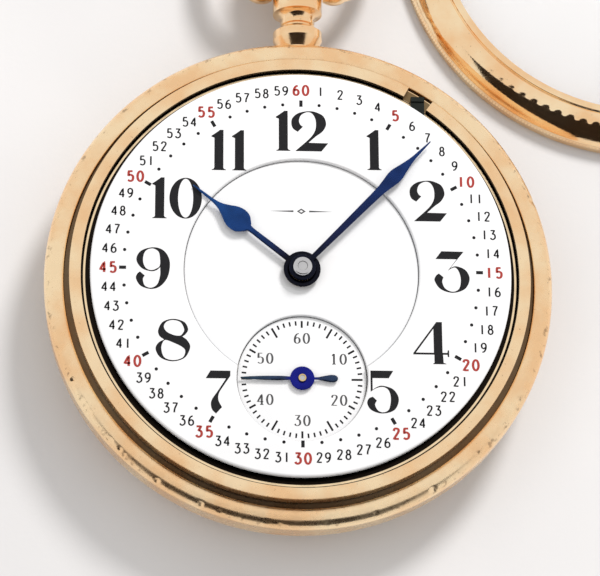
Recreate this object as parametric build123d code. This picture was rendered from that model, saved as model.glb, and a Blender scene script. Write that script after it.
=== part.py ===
"""Open-face, lever-set, stem-wind pocket watch with its screw bezel taken off and laid beside it.

Millimetres. +Z goes up towards the dial, +Y to twelve o'clock and the pendant, +X to three o'clock.
The origin is on the dial's axis, in the middle of the flat of the case back, which rests at z = 0.
"""
from build123d import *
from math import asin, atan2, cos, degrees, hypot, pi, radians, sin
import os

# ---------------------------------------------------------------- driving dimensions
CASE_R = 26.0            # outside of the case middle
WALL_Z0 = 5.1            # the case's upright side wall
WALL_Z1 = 6.9
RIM_CREST_R = 25.0       # where the rim's round edge meets its flat crest
RIM_IN_R = 24.0          # inner edge of the rounded rim
RIM_TOP_Z = 8.0
THREAD_R = 23.4          # outside of the bezel's thread ring
THREAD_IN_R = 22.2
THREAD_TOP_Z = 9.6
GROOVE_Z = 7.3           # floor of the groove between rim and thread ring
SHOULDER_R = 21.9        # ledge that the movement hangs from
SHOULDER_Z = 8.4
LEDGE_Z = 6.6            # underside of the ledge
CAVITY_R = 22.7
BACK_JOIN_Z = 3.0
BACK_R = 25.5
BACK_FLAT_R = 21.0
BACK_WALL = 0.8
BACK_THREAD_R = 23.6

STEM_Z = 5.7             # height of the winding stem, the pendant and the bow's pivot
PENDANT_R = 2.6
PENDANT_FOOT_R = 1.95    # where the pendant leaves the case middle
PENDANT_WAIST_R = 1.65
PENDANT_WAIST_Y = 28.65  # two narrow waists with a bead between them start here
PENDANT_Y0 = 24.4
PENDANT_TOP_Y = 34.4
PENDANT_BORE_R = 1.5
BOW_PIVOT_Y = 32.8
BOW_WIRE_R = 1.1
BOW_R = 8.7              # centreline of the bow's round part
BOW_TILT = -16.5         # the bow hangs down towards the table
CROWN_Y0 = 34.65
CROWN_Y1 = 41.4
CROWN_R = 4.0
CROWN_FLUTES = 26

DIAL_R = 21.3
DIAL_Z0 = 9.8
DIAL_Z = 10.5            # face of the chapter ring
CENTER_SINK_R = 11.9
CENTER_Z = 10.1
SECONDS_SINK_R = 6.54
SECONDS_Z = 9.7
SINK_GAP = 0.05
SINK_LAP = 0.7

PLATE_R = 21.6
PLATE_Z0 = 6.6
PLATE_Z1 = 8.9
MOTION_FLOOR_Z = 7.9     # floor of the recess for the motion work
BRIDGE_R = 20.6
BRIDGE_Z0 = 3.0
BRIDGE_Z1 = 4.2
RUN = 0.03               # radial running clearance

CENTER = (0.0, 0.0)
BARREL = (7.3, 5.6)
THIRD = (3.423, -6.334)
FOURTH = (0.0, -11.2)
ESCAPE = (-4.55, -12.86)
PALLET = (-6.77, -10.35)
BALANCE = (-11.0, -5.6)
CROWN_WHEEL = (0.0, 13.2)
MINUTE_WHEEL = (0.0, 4.5)
SETTING_WHEEL = (0.0, 10.125)
CLICK = (14.9, 9.3)
YOKE = (7.0, 15.2)
COCK_FOOT = (-16.1, 4.4)
PALLET_FOOT = (-10.9, -13.2)
BRIDGE_SPLIT = (0.697, 0.717)        # direction across the cut between the two bridges
TRAIN_POSTS = [(10.5, -14.5), (-6.6, 6.6), (-1.5, -18.0)]
BARREL_POSTS = [(17.0, -1.5), (-6.2, 15.6), (9.0, 16.6)]
POST_R = 1.5

BARREL_TEETH, CENTER_LEAVES, BARREL_M = 80, 12, 0.2
CENTER_TEETH, THIRD_LEAVES, CENTER_M = 80, 10, 0.16
THIRD_TEETH, FOURTH_LEAVES, THIRD_M = 75, 10, 0.14
FOURTH_TEETH, ESCAPE_LEAVES, FOURTH_M = 80, 8, 0.11
ESCAPE_TEETH, ESCAPE_R = 15, 2.9
CROWN_TEETH, RATCHET_TEETH = 28, 34
CANNON_LEAVES, MINUTE_TEETH, SETTING_TEETH, MINUTE_M = 12, 36, 24, 0.1875
MINUTE_LEAVES, HOUR_TEETH, HOUR_M = 10, 40, 0.18
WINDING_LEAVES, CONTRATE_TEETH = 12, 24

HOUR_ANGLE = 308.6       # clockwise from twelve, seven minutes past ten
MINUTE_ANGLE = 43.8
SECONDS_ANGLE = 270.0
HOUR_HAND_Z = (10.72, 10.88)
MINUTE_HAND_Z = (11.22, 11.38)
SECONDS_HAND_Z = (10.02, 10.14)

BEZEL_AT = (37.5, 42.7)  # the bezel lies face up beside the case
BEZEL_R = 26.1
BEZEL_THREAD_R = 23.5
BEZEL_SIGHT_R = 21.7
BEZEL_H = 3.3
BEZEL_NICKS = 180
CRYSTAL_R = 22.25
CRYSTAL_TOP_Z = 4.6

LEVER_X = 12.2           # the setting lever draws out beside one o'clock
LEVER_HALF = 0.7
LEVER_Z = (8.95, 9.5)


# ---------------------------------------------------------------- helpers
def disc(r, z0, z1, at=CENTER):
    return Pos(at[0], at[1], (z0 + z1) / 2) * Cylinder(r, z1 - z0)


def tube(r_out, r_in, z0, z1, at=CENTER):
    return disc(r_out, z0, z1, at) - disc(r_in, z0 - 1, z1 + 1, at)


def slab(x0, x1, y0, y1, z0, z1):
    return Pos((x0 + x1) / 2, (y0 + y1) / 2, (z0 + z1) / 2) * Box(x1 - x0, y1 - y0, z1 - z0)


def prism(points, z0, z1):
    return Pos(0, 0, z0) * extrude(make_face(Polyline(*points, close=True)), z1 - z0)


def turned(points, at=CENTER):
    """A solid of revolution about Z, from a closed (radius, height) outline."""
    return Pos(at[0], at[1], 0) * revolve(Plane.XZ * make_face(Polyline(*points, close=True)), Axis.Z)


def turned_edges(edges, at=CENTER):
    """The same, from edges that may be arcs."""
    return Pos(at[0], at[1], 0) * revolve(Plane.XZ * make_face(Curve() + edges), Axis.Z)


def along_stem(shape):
    """Lays a solid built up +Z along +Y, on the winding stem's axis."""
    return Pos(0, 0, STEM_Z) * Rot(-90, 0, 0) * shape


def polar(r, angle, at=CENTER):
    return (at[0] + r * cos(angle), at[1] + r * sin(angle))


def direction(start, end):
    return atan2(end[1] - start[1], end[0] - start[0])


def bar(start, end, width, z0, z1):
    """A straight bar with round ends."""
    length = hypot(end[0] - start[0], end[1] - start[1])
    turn = Rot(0, 0, degrees(direction(start, end)))
    middle = Pos(length / 2, 0, (z0 + z1) / 2) * Box(length, width, z1 - z0)
    straight = Pos(start[0], start[1], 0) * turn * middle
    return straight + disc(width / 2, z0, z1, start) + disc(width / 2, z0, z1, end)


def gear_outline(teeth, module, phase, at, tip=0.85, root=1.15):
    pitch_r = teeth * module / 2
    pitch = 2 * pi / teeth
    points = []
    for i in range(teeth):
        a = phase + i * pitch
        steps = [(-0.27, -root), (-0.19, 0), (-0.07, tip), (0.07, tip), (0.19, 0), (0.27, -root)]
        points += [polar(pitch_r + k * module, a + w * pitch, at) for w, k in steps]
    return points


def gear(teeth, module, z0, z1, at=CENTER, phase=0.0, bore=0.0):
    solid = prism(gear_outline(teeth, module, phase, at), z0, z1)
    return solid - disc(bore, z0 - 1, z1 + 1, at) if bore else solid


def meshed(start, end, phase, teeth, mate_teeth):
    """The tooth angle of a mate at end, for a gear at start whose tooth stands at phase."""
    line = direction(start, end)
    shift = (line - phase) * teeth / (2 * pi)
    return line + pi + (shift - 0.5) * 2 * pi / mate_teeth


def crossings(r_in, r_out, arms, arm_width, z0, z1, at=CENTER, turn=0.0):
    """The cut-outs between the arms of a wheel."""
    window = tube(r_out, r_in, z0 - 0.5, z1 + 0.5, at)
    for i in range(arms):
        window -= bar(at, polar(r_out + 1, turn + 2 * pi * i / arms, at), arm_width, z0 - 1, z1 + 1)
    return window


def spiral_strip(r0, r1, turns, width, z0, z1, at, start):
    """A flat strip wound in a spiral, standing on its edge."""
    steps = int(turns * 28)
    inner, outer = [], []
    for i in range(steps + 1):
        r = r0 + (r1 - r0) * i / steps
        a = start + 2 * pi * turns * i / steps
        inner.append(polar(r - width / 2, a, at))
        outer.append(polar(r + width / 2, a, at))
    return prism(inner + outer[::-1], z0, z1)


def screw(at, head_r, head_z0, head_z1, shank_r, shank_z1, slot_turn=0.6):
    """A slotted screw whose head faces down, towards the case back."""
    body = disc(head_r, head_z0, head_z1, at) + disc(shank_r, head_z1, shank_z1, at)
    slot = Rot(0, 0, degrees(slot_turn)) * Box(3 * head_r, 0.28 * head_r, 0.3)
    return body - Pos(at[0], at[1], head_z0) * slot


# ---------------------------------------------------------------- case
def case_center():
    outer = [
        Polyline((CAVITY_R, LEDGE_Z), (CAVITY_R, 4.5), (BACK_THREAD_R, 4.5), (BACK_THREAD_R, BACK_JOIN_Z),
                 (BACK_R, BACK_JOIN_Z)),
        ThreePointArc((BACK_R, BACK_JOIN_Z), (25.87, 4.0), (CASE_R, WALL_Z0)),
        Line((CASE_R, WALL_Z0), (CASE_R, WALL_Z1)),
        ThreePointArc((CASE_R, WALL_Z1), (25.72, 7.68), (RIM_CREST_R, RIM_TOP_Z + 0.02)),
        ThreePointArc((RIM_CREST_R, RIM_TOP_Z + 0.02), (24.5, RIM_TOP_Z + 0.08), (RIM_IN_R, RIM_TOP_Z)),
        Polyline((RIM_IN_R, RIM_TOP_Z), (RIM_IN_R, GROOVE_Z), (THREAD_R - 0.15, GROOVE_Z),
                 (THREAD_R - 0.15, 7.7), (THREAD_R, 7.85), (THREAD_R, THREAD_TOP_Z - 0.12),
                 (THREAD_R - 0.12, THREAD_TOP_Z), (THREAD_IN_R + 0.08, THREAD_TOP_Z),
                 (THREAD_IN_R, THREAD_TOP_Z - 0.08), (THREAD_IN_R, SHOULDER_Z), (SHOULDER_R, SHOULDER_Z),
                 (SHOULDER_R, LEDGE_Z), (CAVITY_R, LEDGE_Z)),
    ]
    ring = turned_edges(outer)
    ring -= slab(LEVER_X - 1.15, LEVER_X + 1.1, 15, 21.0, LEVER_Z[0] - 0.3, THREAD_TOP_Z + 1)
    return ring - along_stem(disc(PENDANT_BORE_R, 20, 30))


def pendant(case_middle):
    s = PENDANT_Y0
    w = PENDANT_WAIST_Y
    outline = [
        Polyline((PENDANT_BORE_R, s), (PENDANT_FOOT_R, s), (PENDANT_FOOT_R, 25.9), (PENDANT_R, 27.0),
                 (PENDANT_R, w - 0.8)),
        ThreePointArc((PENDANT_R, w - 0.8), (1.9, w - 0.55), (PENDANT_WAIST_R, w)),
        Polyline((PENDANT_WAIST_R, w), (1.8, w + 0.1), (1.8, w + 0.45), (PENDANT_WAIST_R, w + 0.55)),
        ThreePointArc((PENDANT_WAIST_R, w + 0.55), (1.95, w + 1.1), (PENDANT_R, w + 1.4)),
        Polyline((PENDANT_R, w + 1.4), (PENDANT_R, PENDANT_TOP_Y - 0.2), (PENDANT_R - 0.2, PENDANT_TOP_Y),
                 (PENDANT_BORE_R, PENDANT_TOP_Y), (PENDANT_BORE_R, s)),
    ]
    body = along_stem(turned_edges(outline))
    sockets = Pos(0, BOW_PIVOT_Y, STEM_Z) * Rot(0, 90, 0) * Cylinder(0.6 + RUN, 2 * PENDANT_R + 1)
    return (body - case_middle) - sockets


def pendant_sleeve():
    return along_stem(tube(PENDANT_BORE_R - 0.04, 0.95, 27.2, 31.9))


def case_back():
    edges = [
        Polyline((0, BACK_WALL), (0, 0), (BACK_FLAT_R, 0)),
        TangentArc((BACK_FLAT_R, 0), (BACK_R, BACK_JOIN_Z - 0.6), tangent=(1, 0)),
        Polyline((BACK_R, BACK_JOIN_Z - 0.6), (BACK_R, BACK_JOIN_Z - 0.02),
                 (BACK_THREAD_R - 0.05, BACK_JOIN_Z - 0.02), (BACK_THREAD_R - 0.05, 4.3), (22.9, 4.3),
                 (22.9, 2.5)),
        ThreePointArc((22.9, 2.5), (22.0, 1.25), (20.2, BACK_WALL)),
        Line((20.2, BACK_WALL), (0, BACK_WALL)),
    ]
    return turned_edges(edges)


def case_screws():
    solids = [screw(polar(21.3, radians(a)), 1.15, 6.0, LEDGE_Z - 0.01, 0.35, 8.2) for a in (130, 310)]
    return Compound(children=solids)


def bow():
    foot_x = PENDANT_R + 0.12
    turn_r = 3.0
    straight_x = 4.0
    lean = asin(straight_x / (BOW_R - turn_r))
    ring_y = turn_r + (BOW_R - turn_r) * cos(lean)
    join = (BOW_R * sin(lean), ring_y - BOW_R * cos(lean))
    small_mid = (straight_x + turn_r * sin(lean / 2), turn_r * (1 - cos(lean / 2)))
    left_join = (-join[0], join[1])
    left_mid = (-small_mid[0], small_mid[1])
    path = Curve() + [
        Line((foot_x, 0), (straight_x, 0)),
        ThreePointArc((straight_x, 0), small_mid, join),
        ThreePointArc(join, (0, ring_y + BOW_R), left_join),
        ThreePointArc(left_join, left_mid, (-straight_x, 0)),
        Line((-straight_x, 0), (-foot_x, 0)),
    ]
    wire = sweep(Plane(origin=(foot_x, 0, 0), z_dir=(1, 0, 0)) * Circle(BOW_WIRE_R), path=path)
    edges = [
        Polyline((0, 0), (1.1, 0)),
        ThreePointArc((1.1, 0), (1.42, 1.15), (0.9, 2.5)),
        Polyline((0.9, 2.5), (0, 2.5), (0, 0)),
    ]
    boss = turned_edges(edges) + disc(0.6, -0.85, 0.1)
    for side in (-1, 1):
        wire += Pos(side * foot_x, 0, 0) * Rot(0, side * 90, 0) * boss
    return Pos(0, BOW_PIVOT_Y, STEM_Z) * Rot(BOW_TILT, 0, 0) * wire


def crown():
    edges = [
        Polyline((2.25, CROWN_Y0), (2.9, CROWN_Y0)),
        ThreePointArc((2.9, CROWN_Y0), (3.8, CROWN_Y0 + 1.2), (CROWN_R, CROWN_Y0 + 2.7)),
        ThreePointArc((CROWN_R, CROWN_Y0 + 2.7), (3.35, CROWN_Y1 - 1.3), (1.9, CROWN_Y1 - 0.35)),
        TangentArc((0, CROWN_Y1), (1.9, CROWN_Y1 - 0.35), tangent=(1, 0)),
        Polyline((0, CROWN_Y1), (0, CROWN_Y1 - 2.2), (2.25, CROWN_Y1 - 2.2), (2.25, CROWN_Y0)),
    ]
    knob = turned_edges(edges)
    groove = Pos(CROWN_R + 0.12, 0, (CROWN_Y0 + CROWN_Y1) / 2) * Cylinder(0.3, 9)
    grooves = [Rot(0, 0, 360 * i / CROWN_FLUTES) * groove for i in range(CROWN_FLUTES)]
    return along_stem(knob - grooves)


def crown_core():
    return along_stem(tube(2.23, 0.84, CROWN_Y0 + 0.25, CROWN_Y1 - 2.22))


def winding_stem():
    pilot = disc(0.5, 11.6, 12.65)
    square = Pos(0, 0, (12.65 + 16.6) / 2) * Box(1.2, 1.2, 16.6 - 12.65)
    shank = disc(0.82, 16.6, CROWN_Y1 - 3.0)
    return along_stem(pilot + square + shank)


def bezel():
    edges = [
        Polyline((BEZEL_THREAD_R, 0), (BEZEL_R - 0.35, 0), (BEZEL_R - 0.05, 0.3), (BEZEL_R - 0.05, 0.85)),
        ThreePointArc((BEZEL_R - 0.05, 0.85), (24.95, 2.35), (22.75, BEZEL_H - 0.1)),
        Polyline((22.75, BEZEL_H - 0.1), (22.6, BEZEL_H - 0.2), (22.45, BEZEL_H), (BEZEL_SIGHT_R, BEZEL_H - 0.1),
                 (BEZEL_SIGHT_R, 2.75), (CRYSTAL_R + 0.03, 2.75), (CRYSTAL_R + 0.03, 2.15),
                 (22.0, 2.15), (22.0, 1.75), (BEZEL_THREAD_R, 1.75), (BEZEL_THREAD_R, 0)),
    ]
    ring = turned_edges(edges)
    pitch = 2 * pi / BEZEL_NICKS
    rim = BEZEL_R - 0.02
    nicked = []
    for i in range(BEZEL_NICKS):
        nicked += [polar(rim + 0.5, i * pitch), polar(rim - 0.12, (i + 0.5) * pitch)]
    collar = tube(BEZEL_R + 2, BEZEL_R - 1, 0.28, 0.86) - prism(nicked, 0, 1.2)
    return Pos(BEZEL_AT[0], BEZEL_AT[1], 0) * (ring - collar)


def crystal():
    edges = [
        Polyline((0, CRYSTAL_TOP_Z - 0.9), (0, CRYSTAL_TOP_Z)),
        TangentArc((0, CRYSTAL_TOP_Z), (BEZEL_SIGHT_R - 0.05, 2.95), tangent=(1, 0)),
        Polyline((BEZEL_SIGHT_R - 0.05, 2.95), (BEZEL_SIGHT_R - 0.05, 2.72), (CRYSTAL_R, 2.72),
                 (CRYSTAL_R, 2.17), (21.4, 2.17)),
        TangentArc((0, CRYSTAL_TOP_Z - 0.9), (21.4, 2.17), tangent=(1, 0)),
    ]
    return turned_edges(edges, BEZEL_AT)


# ---------------------------------------------------------------- dial and hands
def dial_ring():
    ring = tube(DIAL_R, CENTER_SINK_R, DIAL_Z0, DIAL_Z)
    return ring - disc(SECONDS_SINK_R, 9, 11, FOURTH)


def dial_center():
    upper = disc(CENTER_SINK_R - SINK_GAP, DIAL_Z0 - 0.4, CENTER_Z)
    flange = disc(CENTER_SINK_R + SINK_LAP, DIAL_Z0 - 0.4, DIAL_Z0)
    return upper + flange - disc(1.6, 9, 11) - disc(SECONDS_SINK_R, 9, 11, FOURTH)


def dial_seconds():
    upper = disc(SECONDS_SINK_R - SINK_GAP, DIAL_Z0 - 0.8, SECONDS_Z, FOURTH)
    flange = disc(SECONDS_SINK_R + SINK_LAP, DIAL_Z0 - 0.8, DIAL_Z0 - 0.4, FOURTH)
    return upper + flange - disc(0.6, 8, 11, FOURTH)


FOOT_ANGLES = [radians(20), radians(150), radians(245)]
FOOT_RING_R = 19.4


def dial_feet():
    return Compound(children=[disc(0.6, 7.3, DIAL_Z0, polar(FOOT_RING_R, a)) for a in FOOT_ANGLES])


def hand_turn(angle):
    """Turns a hand drawn along +Y to a clock angle."""
    return Rot(0, 0, -angle)


def hour_hand():
    z0, z1 = HOUR_HAND_Z
    half = [(0.3, 0), (0.29, 6.9), (1.0, 7.5), (1.25, 8.4), (1.0, 9.3), (0.4, 10.2), (0.16, 11.4), (0.1, 14.1)]
    outline = half + [(-x, y) for x, y in reversed(half)]
    body = prism(outline, z0, z1) + disc(1.87, z0, z1)
    return hand_turn(HOUR_ANGLE) * (body - disc(1.27, z0 - 1, z1 + 1))


def minute_hand():
    z0, z1 = MINUTE_HAND_Z
    half = [(0.27, 0), (0.44, 11.0), (0.5, 12.0), (0.73, 13.8), (0.24, 16.2), (0.1, 19.1)]
    outline = half + [(-x, y) for x, y in reversed(half)]
    body = prism(outline, z0, z1) + disc(1.35, z0, z1)
    return hand_turn(MINUTE_ANGLE) * (body - disc(0.77, z0 - 1, z1 + 1))


def seconds_hand():
    z0, z1 = SECONDS_HAND_Z
    half = [(0.2, -1.0), (0.22, 0), (0.2, 2.0), (0.1, 6.1)]
    tail = [(-0.14, -1.4), (-0.4, -2.7), (-0.33, -3.4), (0.0, -3.6), (0.33, -3.4), (0.4, -2.7), (0.14, -1.4)]
    outline = half + [(-x, y) for x, y in reversed(half)] + tail
    blade = prism(outline, z0, z1) + disc(1.2, z0, z1)
    socket = disc(0.39, 9.75, 10.38)
    hand = hand_turn(SECONDS_ANGLE) * (blade + socket - disc(0.25, 9, 11))
    return Pos(FOURTH[0], FOURTH[1], 0) * hand


# ---------------------------------------------------------------- motion work
CANNON_PHASE = radians(90)
MINUTE_PHASE = meshed(CENTER, MINUTE_WHEEL, CANNON_PHASE, CANNON_LEAVES, MINUTE_TEETH)
PINION_PHASE = radians(90)
HOUR_PHASE = meshed(MINUTE_WHEEL, CENTER, PINION_PHASE, MINUTE_LEAVES, HOUR_TEETH)
SETTING_PHASE = meshed(MINUTE_WHEEL, SETTING_WHEEL, MINUTE_PHASE, MINUTE_TEETH, SETTING_TEETH)


def cannon_pinion():
    leaves = gear(CANNON_LEAVES, MINUTE_M, 7.95, 8.4, CENTER, CANNON_PHASE)
    pipe = disc(0.88, 8.4, 11.18) + disc(0.75, 11.18, 11.4)
    head = turned([(0, 11.4), (0.97, 11.4), (0.97, 11.8), (0.92, 11.9), (0.82, 11.95), (0, 11.95)])
    return leaves + pipe + head - disc(0.5, 7, 13)


def hour_wheel():
    wheel = gear(HOUR_TEETH, HOUR_M, 8.45, 8.7, CENTER, HOUR_PHASE)
    return wheel + disc(1.25, 8.7, 10.9) - disc(0.93, 8, 12)


def minute_wheel():
    wheel = gear(MINUTE_TEETH, MINUTE_M, 8.0, 8.25, MINUTE_WHEEL, MINUTE_PHASE, 0.6)
    return wheel - crossings(1.3, 2.7, 4, 0.5, 8.0, 8.25, MINUTE_WHEEL)


def minute_pinion():
    leaves = gear(MINUTE_LEAVES, HOUR_M, 8.27, 8.8, MINUTE_WHEEL, PINION_PHASE)
    return leaves + disc(0.58, 8.0, 8.3, MINUTE_WHEEL) - disc(0.4 + RUN, 7, 9, MINUTE_WHEEL)


def setting_wheel():
    wheel = gear(SETTING_TEETH, MINUTE_M, 7.4, 8.25, SETTING_WHEEL, SETTING_PHASE)
    return wheel - disc(0.6 + RUN, 7, 9, SETTING_WHEEL)


# ---------------------------------------------------------------- going train
CENTER_PHASE = 0.0
THIRD_PINION_PHASE = meshed(CENTER, THIRD, CENTER_PHASE, CENTER_TEETH, THIRD_LEAVES)
THIRD_PHASE = 0.0
FOURTH_PINION_PHASE = meshed(THIRD, FOURTH, THIRD_PHASE, THIRD_TEETH, FOURTH_LEAVES)
FOURTH_PHASE = 0.0
ESCAPE_PINION_PHASE = meshed(FOURTH, ESCAPE, FOURTH_PHASE, FOURTH_TEETH, ESCAPE_LEAVES)
CENTER_PINION_PHASE = 0.0
BARREL_PHASE = meshed(CENTER, BARREL, CENTER_PINION_PHASE, CENTER_LEAVES, BARREL_TEETH)


def train_wheel(teeth, module, z0, z1, at, phase, hub_r, arms, bore):
    rim_in = teeth * module / 2 - 5.2 * module
    wheel = gear(teeth, module, z0, z1, at, phase, bore)
    return wheel - crossings(hub_r, rim_in, arms, 0.5, z0, z1, at, 0.3)


def center_wheel():
    return train_wheel(CENTER_TEETH, CENTER_M, 4.72, 4.96, CENTER, CENTER_PHASE, 1.7, 4, 0.8)


def center_arbor():
    body = disc(0.45, 3.1, 4.25) + disc(0.78, 4.25, 5.2) + disc(1.1, 4.98, 5.2)
    leaves = gear(CENTER_LEAVES, BARREL_M, 5.2, 6.45, CENTER, CENTER_PINION_PHASE)
    return body + leaves + disc(0.7, 6.45, 7.85) + disc(0.46, 7.85, 11.85)


def third_wheel():
    return train_wheel(THIRD_TEETH, THIRD_M, 4.34, 4.56, THIRD, THIRD_PHASE, 1.3, 5, 0.35)


def third_arbor():
    leaves = gear(THIRD_LEAVES, CENTER_M, 4.6, 5.15, THIRD, THIRD_PINION_PHASE)
    shaft = disc(0.33, 4.28, 6.5, THIRD) + disc(0.12, 3.1, 4.3, THIRD) + disc(0.14, 6.5, 7.4, THIRD)
    return leaves + shaft


def fourth_wheel():
    return train_wheel(FOURTH_TEETH, FOURTH_M, 5.3, 5.52, FOURTH, FOURTH_PHASE, 1.1, 4, 0.35)


def fourth_arbor():
    leaves = gear(FOURTH_LEAVES, THIRD_M, 4.24, 4.72, FOURTH, FOURTH_PINION_PHASE)
    shaft = disc(0.33, 4.24, 6.5, FOURTH) + disc(0.12, 3.1, 4.3, FOURTH) + disc(0.25, 6.5, 10.3, FOURTH)
    return leaves + shaft


def escape_wheel():
    points = []
    for i in range(ESCAPE_TEETH):
        a = 2 * pi * i / ESCAPE_TEETH
        steps = [(0.0, 2.2), (0.12, 2.22), (0.2, 2.55), (0.24, ESCAPE_R), (0.31, 2.84), (0.29, 2.5), (0.31, 2.2)]
        points += [polar(r, a + w, ESCAPE) for w, r in steps]
    wheel = prism(points, 5.9, 6.12) - disc(0.35, 5, 7, ESCAPE)
    return wheel - crossings(0.85, 1.8, 4, 0.35, 5.9, 6.12, ESCAPE)


def escape_arbor():
    leaves = gear(ESCAPE_LEAVES, FOURTH_M, 5.15, 5.7, ESCAPE, ESCAPE_PINION_PHASE)
    shaft = disc(0.3, 4.3, 6.5, ESCAPE) + disc(0.1, 3.1, 4.3, ESCAPE) + disc(0.1, 6.5, 7.4, ESCAPE)
    return leaves + shaft + disc(0.33, 5.7, 6.12, ESCAPE)


PALLET_SPREAD = 1.15     # half angle between the two pallet arms
FORK_Z = (6.16, 6.4)


def pallet_fork():
    arm = direction(PALLET, BALANCE)
    lever = bar(PALLET, polar(4.75, arm, PALLET), 0.6, *FORK_Z)
    horns = bar(polar(4.65, arm - 0.09, PALLET), polar(4.65, arm + 0.09, PALLET), 0.5, *FORK_Z)
    notch = Pos(*polar(5.0, arm, PALLET), 6.3) * Rot(0, 0, degrees(arm)) * Box(0.7, 0.36, 1)
    back = direction(PALLET, ESCAPE)
    arbor = disc(0.3, 5.4, 6.5, PALLET) + disc(0.1, 4.8, 5.4, PALLET) + disc(0.1, 6.5, 7.4, PALLET)
    fork = lever + horns - notch + arbor
    for side in (-1, 1):
        fork += bar(PALLET, polar(2.95, back + side * PALLET_SPREAD, PALLET), 0.7, *FORK_Z)
    return fork


def pallet_jewels():
    stones = []
    back = direction(PALLET, ESCAPE)
    for side in (-1, 1):
        line = back + side * PALLET_SPREAD
        stones.append(bar(polar(2.65, line, PALLET), polar(3.0, line, PALLET), 0.28, 5.88, FORK_Z[0] - 0.01))
    return Compound(children=stones)


def impulse_pin():
    return disc(0.15, 5.7, FORK_Z[1], polar(1.1, direction(BALANCE, PALLET), BALANCE))


def balance_wheel():
    rim = tube(7.6, 6.7, 3.2, 4.4, BALANCE)
    arm_turn = radians(35)
    arm = bar(polar(-6.9, arm_turn, BALANCE), polar(6.9, arm_turn, BALANCE), 0.9, 3.7, 4.2)
    return rim + arm + disc(1.4, 3.7, 4.2, BALANCE) - disc(0.6, 2, 5, BALANCE)


def balance_screws():
    solids = []
    for i in range(14):
        a = radians(35) + 2 * pi * (i + 0.5) / 14
        x, y = polar(7.87, a, BALANCE)
        solids.append(Pos(x, y, 3.8) * Rot(0, 0, degrees(a)) * Rot(0, 90, 0) * Cylinder(0.45, 0.5))
    return Compound(children=solids)


def balance_staff():
    shaft = disc(0.58, 3.4, 4.6, BALANCE) + disc(0.9, 2.8, 3.2, BALANCE) + disc(0.4, 2.75, 6.5, BALANCE)
    pivots = disc(0.1, 2.0, 2.8, BALANCE) + disc(0.1, 6.5, 7.3, BALANCE)
    roller = disc(1.45, 5.3, 5.75, BALANCE) + disc(0.75, 5.75, 6.2, BALANCE)
    return shaft + pivots + roller + impulse_pin()


def hairspring():
    spiral = spiral_strip(0.98, 4.2, 11, 0.08, 2.85, 3.12, BALANCE, 1.2)
    return spiral + bar(polar(4.2, 1.2, BALANCE), polar(4.75, 1.2, BALANCE), 0.3, 2.72, 3.12)


# ---------------------------------------------------------------- barrel and winding
RATCHET_M = 2 * hypot(BARREL[0] - CROWN_WHEEL[0], BARREL[1] - CROWN_WHEEL[1]) / (CROWN_TEETH + RATCHET_TEETH)
CROWN_WHEEL_PHASE = 0.0
RATCHET_PHASE = meshed(CROWN_WHEEL, BARREL, CROWN_WHEEL_PHASE, CROWN_TEETH, RATCHET_TEETH)
CONTRATE_R = (3.35, 4.15)
WINDING_TIP_R = 2.0
WINDING_ROOT_R = 1.45


def barrel():
    teeth = gear(BARREL_TEETH, BARREL_M, 5.3, 5.8, BARREL, BARREL_PHASE)
    drum = teeth + disc(7.55, 5.15, 7.3, BARREL)
    drum -= disc(7.2, 5.5, 8, BARREL)
    return drum - disc(0.9 + RUN, 5, 6, BARREL)


def barrel_cover():
    return tube(7.18, 0.9 + RUN, 7.08, 7.28, BARREL)


def mainspring():
    return spiral_strip(2.5, 7.0, 9, 0.16, 5.6, 7.0, BARREL, 0.0)


def barrel_arbor():
    core = disc(2.0, 5.54, 7.04, BARREL)
    shaft = disc(0.9, 5.0, 8.0, BARREL) + disc(1.25, 3.02, 5.08, BARREL)
    square = Pos(BARREL[0], BARREL[1], 2.7) * Box(1.5, 1.5, 0.8)
    return core + shaft + square


def ratchet_wheel():
    wheel = gear(RATCHET_TEETH, RATCHET_M, 2.35, 2.95, BARREL, RATCHET_PHASE)
    hole = Pos(BARREL[0], BARREL[1], 2.6) * Box(1.54, 1.54, 2)
    return wheel - hole


def ratchet_screw():
    return screw(BARREL, 1.6, 2.0, 2.29, 0.05, 2.295)


def crown_wheel():
    wheel = gear(CROWN_TEETH, RATCHET_M, 2.35, 2.95, CROWN_WHEEL, CROWN_WHEEL_PHASE)
    ring = tube(CONTRATE_R[1], CONTRATE_R[0], 2.9, 3.5, CROWN_WHEEL)
    tooth_r = (CONTRATE_R[0] + CONTRATE_R[1]) / 2
    turned_wheel = wheel + ring
    for i in range(CONTRATE_TEETH):
        a = radians(90) + 2 * pi * (i + 0.5) / CONTRATE_TEETH
        tooth = Box(CONTRATE_R[1] - CONTRATE_R[0] - 0.1, 0.26, 0.5)
        x, y = polar(tooth_r, a, CROWN_WHEEL)
        turned_wheel += Pos(x, y, 3.7) * Rot(0, 0, degrees(a)) * tooth
    return turned_wheel - disc(1.6 + RUN, 2, 4, CROWN_WHEEL)


def crown_wheel_cap():
    return screw(CROWN_WHEEL, 2.4, 2.0, 2.3, 0.5, 3.2)


def winding_pinion():
    pitch = 2 * pi / WINDING_LEAVES
    points = []
    for i in range(WINDING_LEAVES):
        a = radians(90) + i * pitch
        steps = [(-0.2, WINDING_ROOT_R), (-0.1, WINDING_TIP_R), (0.1, WINDING_TIP_R), (0.2, WINDING_ROOT_R)]
        points += [polar(r, a + w * pitch) for w, r in steps]
    pinion = prism(points, 16.62, 17.3) + disc(1.4, 16.6, 17.5)
    return along_stem(pinion - disc(0.84, 16, 18))


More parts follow.
